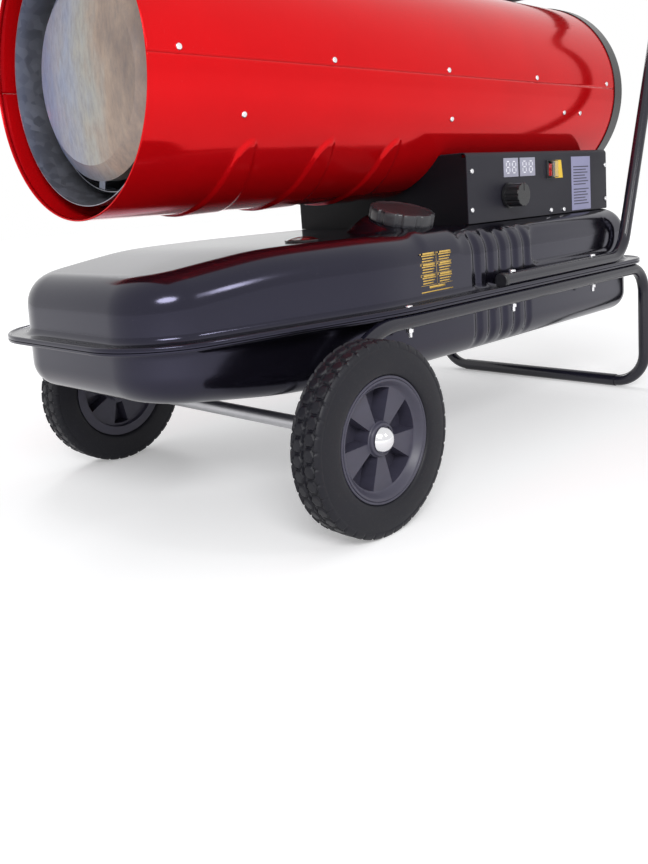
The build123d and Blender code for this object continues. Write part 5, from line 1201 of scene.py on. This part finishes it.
class HEATER_OT_controls(bpy.types.Operator):
    """Control box, displays, switch, thermostat, plates and the parts inside"""

    bl_idname = "heater.controls"
    bl_label = "Controls"

    def execute(self, context):
        paint = settings("heater_trim").box_paint
        texture = {"roughness": 0.5, "grain": 900.0, "depth": 0.12}
        dress(satin_paint("BoxPaint", paint, specular=0.25, **texture), "control_panel", "side_panel")
        # painted shade: the saddle box takes the box paint at 0.3 with less specular, a darker copy of the
        # same paint
        dress(satin_paint("SaddlePaint", scaled(paint, 0.3), specular=0.15, **texture), "saddle_box")
        dress(moulded_plastic("DisplayFace", (0.33, 0.33, 0.42), 0.32), "display_modules")
        dress(moulded_plastic("SwitchBezel", (0.025, 0.025, 0.028), 0.35), "switch_housing")
        dress(moulded_plastic("SwitchRed", (0.62, 0.015, 0.012), 0.25), "switch_rocker")
        dress(clear_moulding("SplashCover", (0.96, 0.96, 0.97)), "switch_cover")
        dress(bright_metal("ThermostatCan", (0.60, 0.60, 0.60), 0.3), "thermostat_body")
        dress(moulded_plastic("KnobPlastic", (0.014, 0.014, 0.016), 0.3), "thermostat_knob")
        dress(printed_film("PlateFilm", (0.29, 0.29, 0.46), 0.35), "data_plate")
        dress(moulded_plastic("Board", (0.02, 0.13, 0.05), 0.35), "control_board")
        dress(moulded_plastic("TransformerResin", (0.02, 0.02, 0.022), 0.4), "ignition_transformer")
        dress(moulded_plastic("Gland", (0.015, 0.015, 0.016), 0.4), "power_inlet")
        self.digits(settings("heater_print"))
        self.films(settings("heater_print"))
        return {"FINISHED"}

    def digits(self, p):
        """Lit segments of the two-figure displays, as six-sided bars on their windows."""
        first_figure, second_figure = 0.29, 0.71
        bars = []
        for front, rear in (p.display_a, p.display_b):
            for place in (first_figure, second_figure):
                middle = front + (rear - front) * place
                bars += seven_segments(middle, p.display_z, p.digit_width, p.digit_height)
        face = BOX_FACE_X + p.display_proud
        points, faces = prisms(bars, face, face + p.print_lift)
        lit = moulded_plastic("DisplaySegments", (0.80, 0.80, 0.86), 0.3)
        piece("display_digits", points, faces, "heater", lit, smooth=False)

    def films(self, p):
        """Ruled lines of the data plate, in two blocks, and the plain yellow film beside the switch.

        The lines' ends wander by a fixed share of the plate's width.
        """
        low_y, high_y, low_z, high_z = p.plate
        upper_block, lower_block = 0.80, 0.38
        longest, ragged = 0.90, 0.22
        bars = []
        for start, count in ((upper_block, p.plate_lines), (lower_block, p.plate_lines - 1)):
            for i in range(count):
                z = low_z + (high_z - low_z) * start - i * p.plate_pitch
                reach = low_y + (high_y - low_y) * (longest - ragged * (i * 0.62 % 1.0))
                bars.append(bar_outline(low_y + p.plate_margin, reach, z, z + p.plate_stroke))
        face = BOX_FACE_X + p.plate_thick
        points, faces = prisms(bars, face, face + p.print_lift)
        ink = printed_film("PlateInk", (0.045, 0.045, 0.075), 0.4)
        piece("data_plate_lines", points, faces, "heater", ink, smooth=False)
        front, rear, low, high = p.patch
        patch = [(front, low), (rear, low), (rear - p.patch_slant, high), (front + p.patch_slant, high)]
        points, faces = prisms([patch], BOX_FACE_X, BOX_FACE_X + p.print_lift)
        yellow = printed_film("YellowFilm", (0.85, 0.55, 0.02), 0.35)
        piece("yellow_film", points, faces, "heater", yellow, smooth=False)


class HEATER_OT_hot_end(bpy.types.Operator):
    """Liner, chamber, deflector, burner, motor, fan, pump and guard"""

    bl_idname = "heater.hot_end"
    bl_label = "Hot end and blower"

    def execute(self, context):
        dress(galvanised("LinerSheet", (0.36, 0.37, 0.42)), "liner")
        dress(heated_steel("HeatedSteel"), "deflector")
        dress(galvanised("ChamberSheet", (0.30, 0.31, 0.33)), "combustion_chamber", "burner_head")
        dress(bright_metal("Brass", (0.70, 0.46, 0.18), 0.28), "nozzle")
        dress(moulded_plastic("Ceramic", (0.72, 0.70, 0.66), 0.3), "electrodes")
        dress(satin_paint("MotorPaint", (0.05, 0.05, 0.055), 0.35), "motor")
        dress(bright_metal("Bracket", (0.5, 0.5, 0.52), 0.35), "motor_bracket")
        drawn = bright_metal("ShaftSteel", (0.58, 0.58, 0.60), 0.2, brushed=(1.0, 0.05, 1.0))
        dress(drawn, "motor_shaft")
        dress(bright_metal("CastAluminium", (0.55, 0.56, 0.58), 0.42), "fan", "pump_body", "filter_cover")
        dress(satin_paint("Carbon", (0.03, 0.03, 0.032), 0.4), "pump_rotor")
        dress(satin_paint("GuardPaint", (0.008, 0.008, 0.010), 0.25), "rear_guard")
        dress(satin_paint("Hose", (0.012, 0.012, 0.013), 0.5), "burner_lines")
        dress(satin_paint("Sleeve", (0.09, 0.03, 0.02), 0.5), "wiring")
        return {"FINISHED"}


class HEATER_OT_stage(bpy.types.Operator):
    """Pale floor, soft boxes, surrounding light and the camera"""

    bl_idname = "heater.stage"
    bl_label = "Stage"

    def execute(self, context):
        s = settings("heater_stage")
        self.floor(context, s)
        self.world(context, s)
        self.lamp(context, "key_box", s.key,
                  place=(2.05, -2.0, 1.75), aim=(0.16, -0.56, 0.32), width=1.5, height=0.75)
        self.lamp(context, "side_box", s.side,
                  place=(1.70, -0.02, 1.00), aim=(0.17, -0.52, 0.32), width=0.12, height=0.34)
        self.lamp(context, "fill_box", s.fill,
                  place=(-2.9, 1.2, 2.4), aim=(0.0, 0.0, 0.35), width=1.2, height=1.2)
        self.camera(context)
        return {"FINISHED"}

    def floor(self, context, s):
        """Wide pale floor that glows a little by itself, more with distance, so that it ends in white."""
        reach = 14.0
        corners = [(-reach, -reach, 0), (reach, -reach, 0), (reach, reach, 0), (-reach, reach, 0)]
        mesh = bpy.data.meshes.new("floor")
        mesh.from_pydata(corners, [], [(0, 1, 2, 3)])
        floor = bpy.data.objects.new("floor", mesh)
        context.scene.collection.objects.link(floor)
        f = Finish("FloorPaper", Roughness=0.9, Specular_IOR_Level=0.1)
        paper = f.noise(60.0, detail=4.0)
        f.set(Base_Color=f.mix(paper, scaled(s.floor, 0.985), s.floor))
        away = f.node("ShaderNodeVectorMath", {"operation": "LENGTH"}, {0: f.coords}, out=1)
        lift = away.between(s.glow_near * MM, s.glow_far * MM) * (s.glow_out - s.glow) + s.glow
        glow = f.node("ShaderNodeEmission", None, {"Color": (1, 1, 1, 1), "Strength": f.seen() * lift})
        both = f.node("ShaderNodeAddShader", None, {0: Wire(f, f.shader.outputs[0]), 1: glow})
        f.tree.links.new(both.socket, f.tree.nodes["Material Output"].inputs["Surface"])
        mesh.materials.append(f.material)

    def world(self, context, s):
        """White surround that lights the object softly."""
        world = bpy.data.worlds.new("Studio")
        world.use_nodes = True
        context.scene.world = world
        strength = Nodes(world.node_tree).seen() * (1.0 - s.ambient) + s.ambient
        background = world.node_tree.nodes["Background"]
        background.inputs["Color"].default_value = (1.0, 1.0, 1.0, 1.0)
        world.node_tree.links.new(strength.socket, background.inputs["Strength"])

    def lamp(self, context, name, power, place, aim, width, height):
        """Soft box aimed at a point, in metres."""
        data = bpy.data.lights.new(name, "AREA")
        data.energy = power
        data.shape = "ELLIPSE"
        data.size, data.size_y = width, height
        lamp = bpy.data.objects.new(name, data)
        lamp.location = place
        lamp.rotation_mode = "QUATERNION"
        lamp.rotation_quaternion = (Vector(aim) - Vector(place)).to_track_quat("-Z", "Y")
        lamp.visible_camera = False
        context.scene.collection.objects.link(lamp)

    def camera(self, context):
        """Camera fitted to the photograph: place, three turns, focal length and middle in pixels."""
        place = (1023.3675, -789.31393, 430.86442)
        yaw, pitch, roll = radians(45.12955), radians(8.51961), radians(-3.82796)
        wide, high, focal, centre = 648, 864, 873.4082, (325.20281, 326.17455)
        back = Vector((sin(yaw) * cos(pitch), -cos(yaw) * cos(pitch), sin(pitch)))
        level = Vector((cos(yaw), sin(yaw), 0.0))
        over = back.cross(level)
        right = cos(roll) * level + sin(roll) * over
        up = -sin(roll) * level + cos(roll) * over
        data = bpy.data.cameras.new("camera")
        data.sensor_width = 36.0
        data.lens = focal * data.sensor_width / high
        data.shift_x = (wide / 2 - centre[0]) / high
        data.shift_y = (centre[1] - high / 2) / high
        data.clip_start, data.clip_end = 0.05, 100.0
        camera = bpy.data.objects.new("camera", data)
        turn = Matrix((right, up, back)).transposed()
        camera.matrix_world = Matrix.Translation(Vector(placed(*place))) @ turn.to_4x4()
        context.scene.collection.objects.link(camera)
        context.scene.camera = camera


OPERATORS = (HEATER_OT_tank, HEATER_OT_barrel, HEATER_OT_wheels, HEATER_OT_filler, HEATER_OT_frame,
             HEATER_OT_controls, HEATER_OT_hot_end, HEATER_OT_stage)


class HEATER_PT_sidebar(bpy.types.Panel):
    """Lists the heater's operators and their settings"""

    bl_idname = "HEATER_PT_sidebar"
    bl_label = "Heater"
    bl_space_type = "VIEW_3D"
    bl_region_type = "UI"
    bl_category = "Heater"

    def draw(self, context):
        for operator in OPERATORS:
            self.layout.operator(operator.bl_idname)
        for name, group in SETTINGS.items():
            column = self.layout.column(heading=group.__doc__)
            for prop in group.__annotations__:
                column.prop(getattr(context.scene, name), prop)


def register():
    for group in SETTINGS.values():
        bpy.utils.register_class(group)
    for operator in OPERATORS:
        bpy.utils.register_class(operator)
    bpy.utils.register_class(HEATER_PT_sidebar)
    for name, group in SETTINGS.items():
        setattr(bpy.types.Scene, name, bpy.props.PointerProperty(type=group))


def unregister():
    for name in SETTINGS:
        delattr(bpy.types.Scene, name)
    for group in (HEATER_PT_sidebar, *reversed(OPERATORS), *SETTINGS.values()):
        bpy.utils.unregister_class(group)


def main():
    """Builds everything in order and writes the sizes."""
    register()
    bpy.context.scene.view_settings.view_transform = "Standard"
    for operator in OPERATORS:
        group, name = operator.bl_idname.split(".")
        getattr(getattr(bpy.ops, group), name)()


if __name__ == "__main__":
    main()
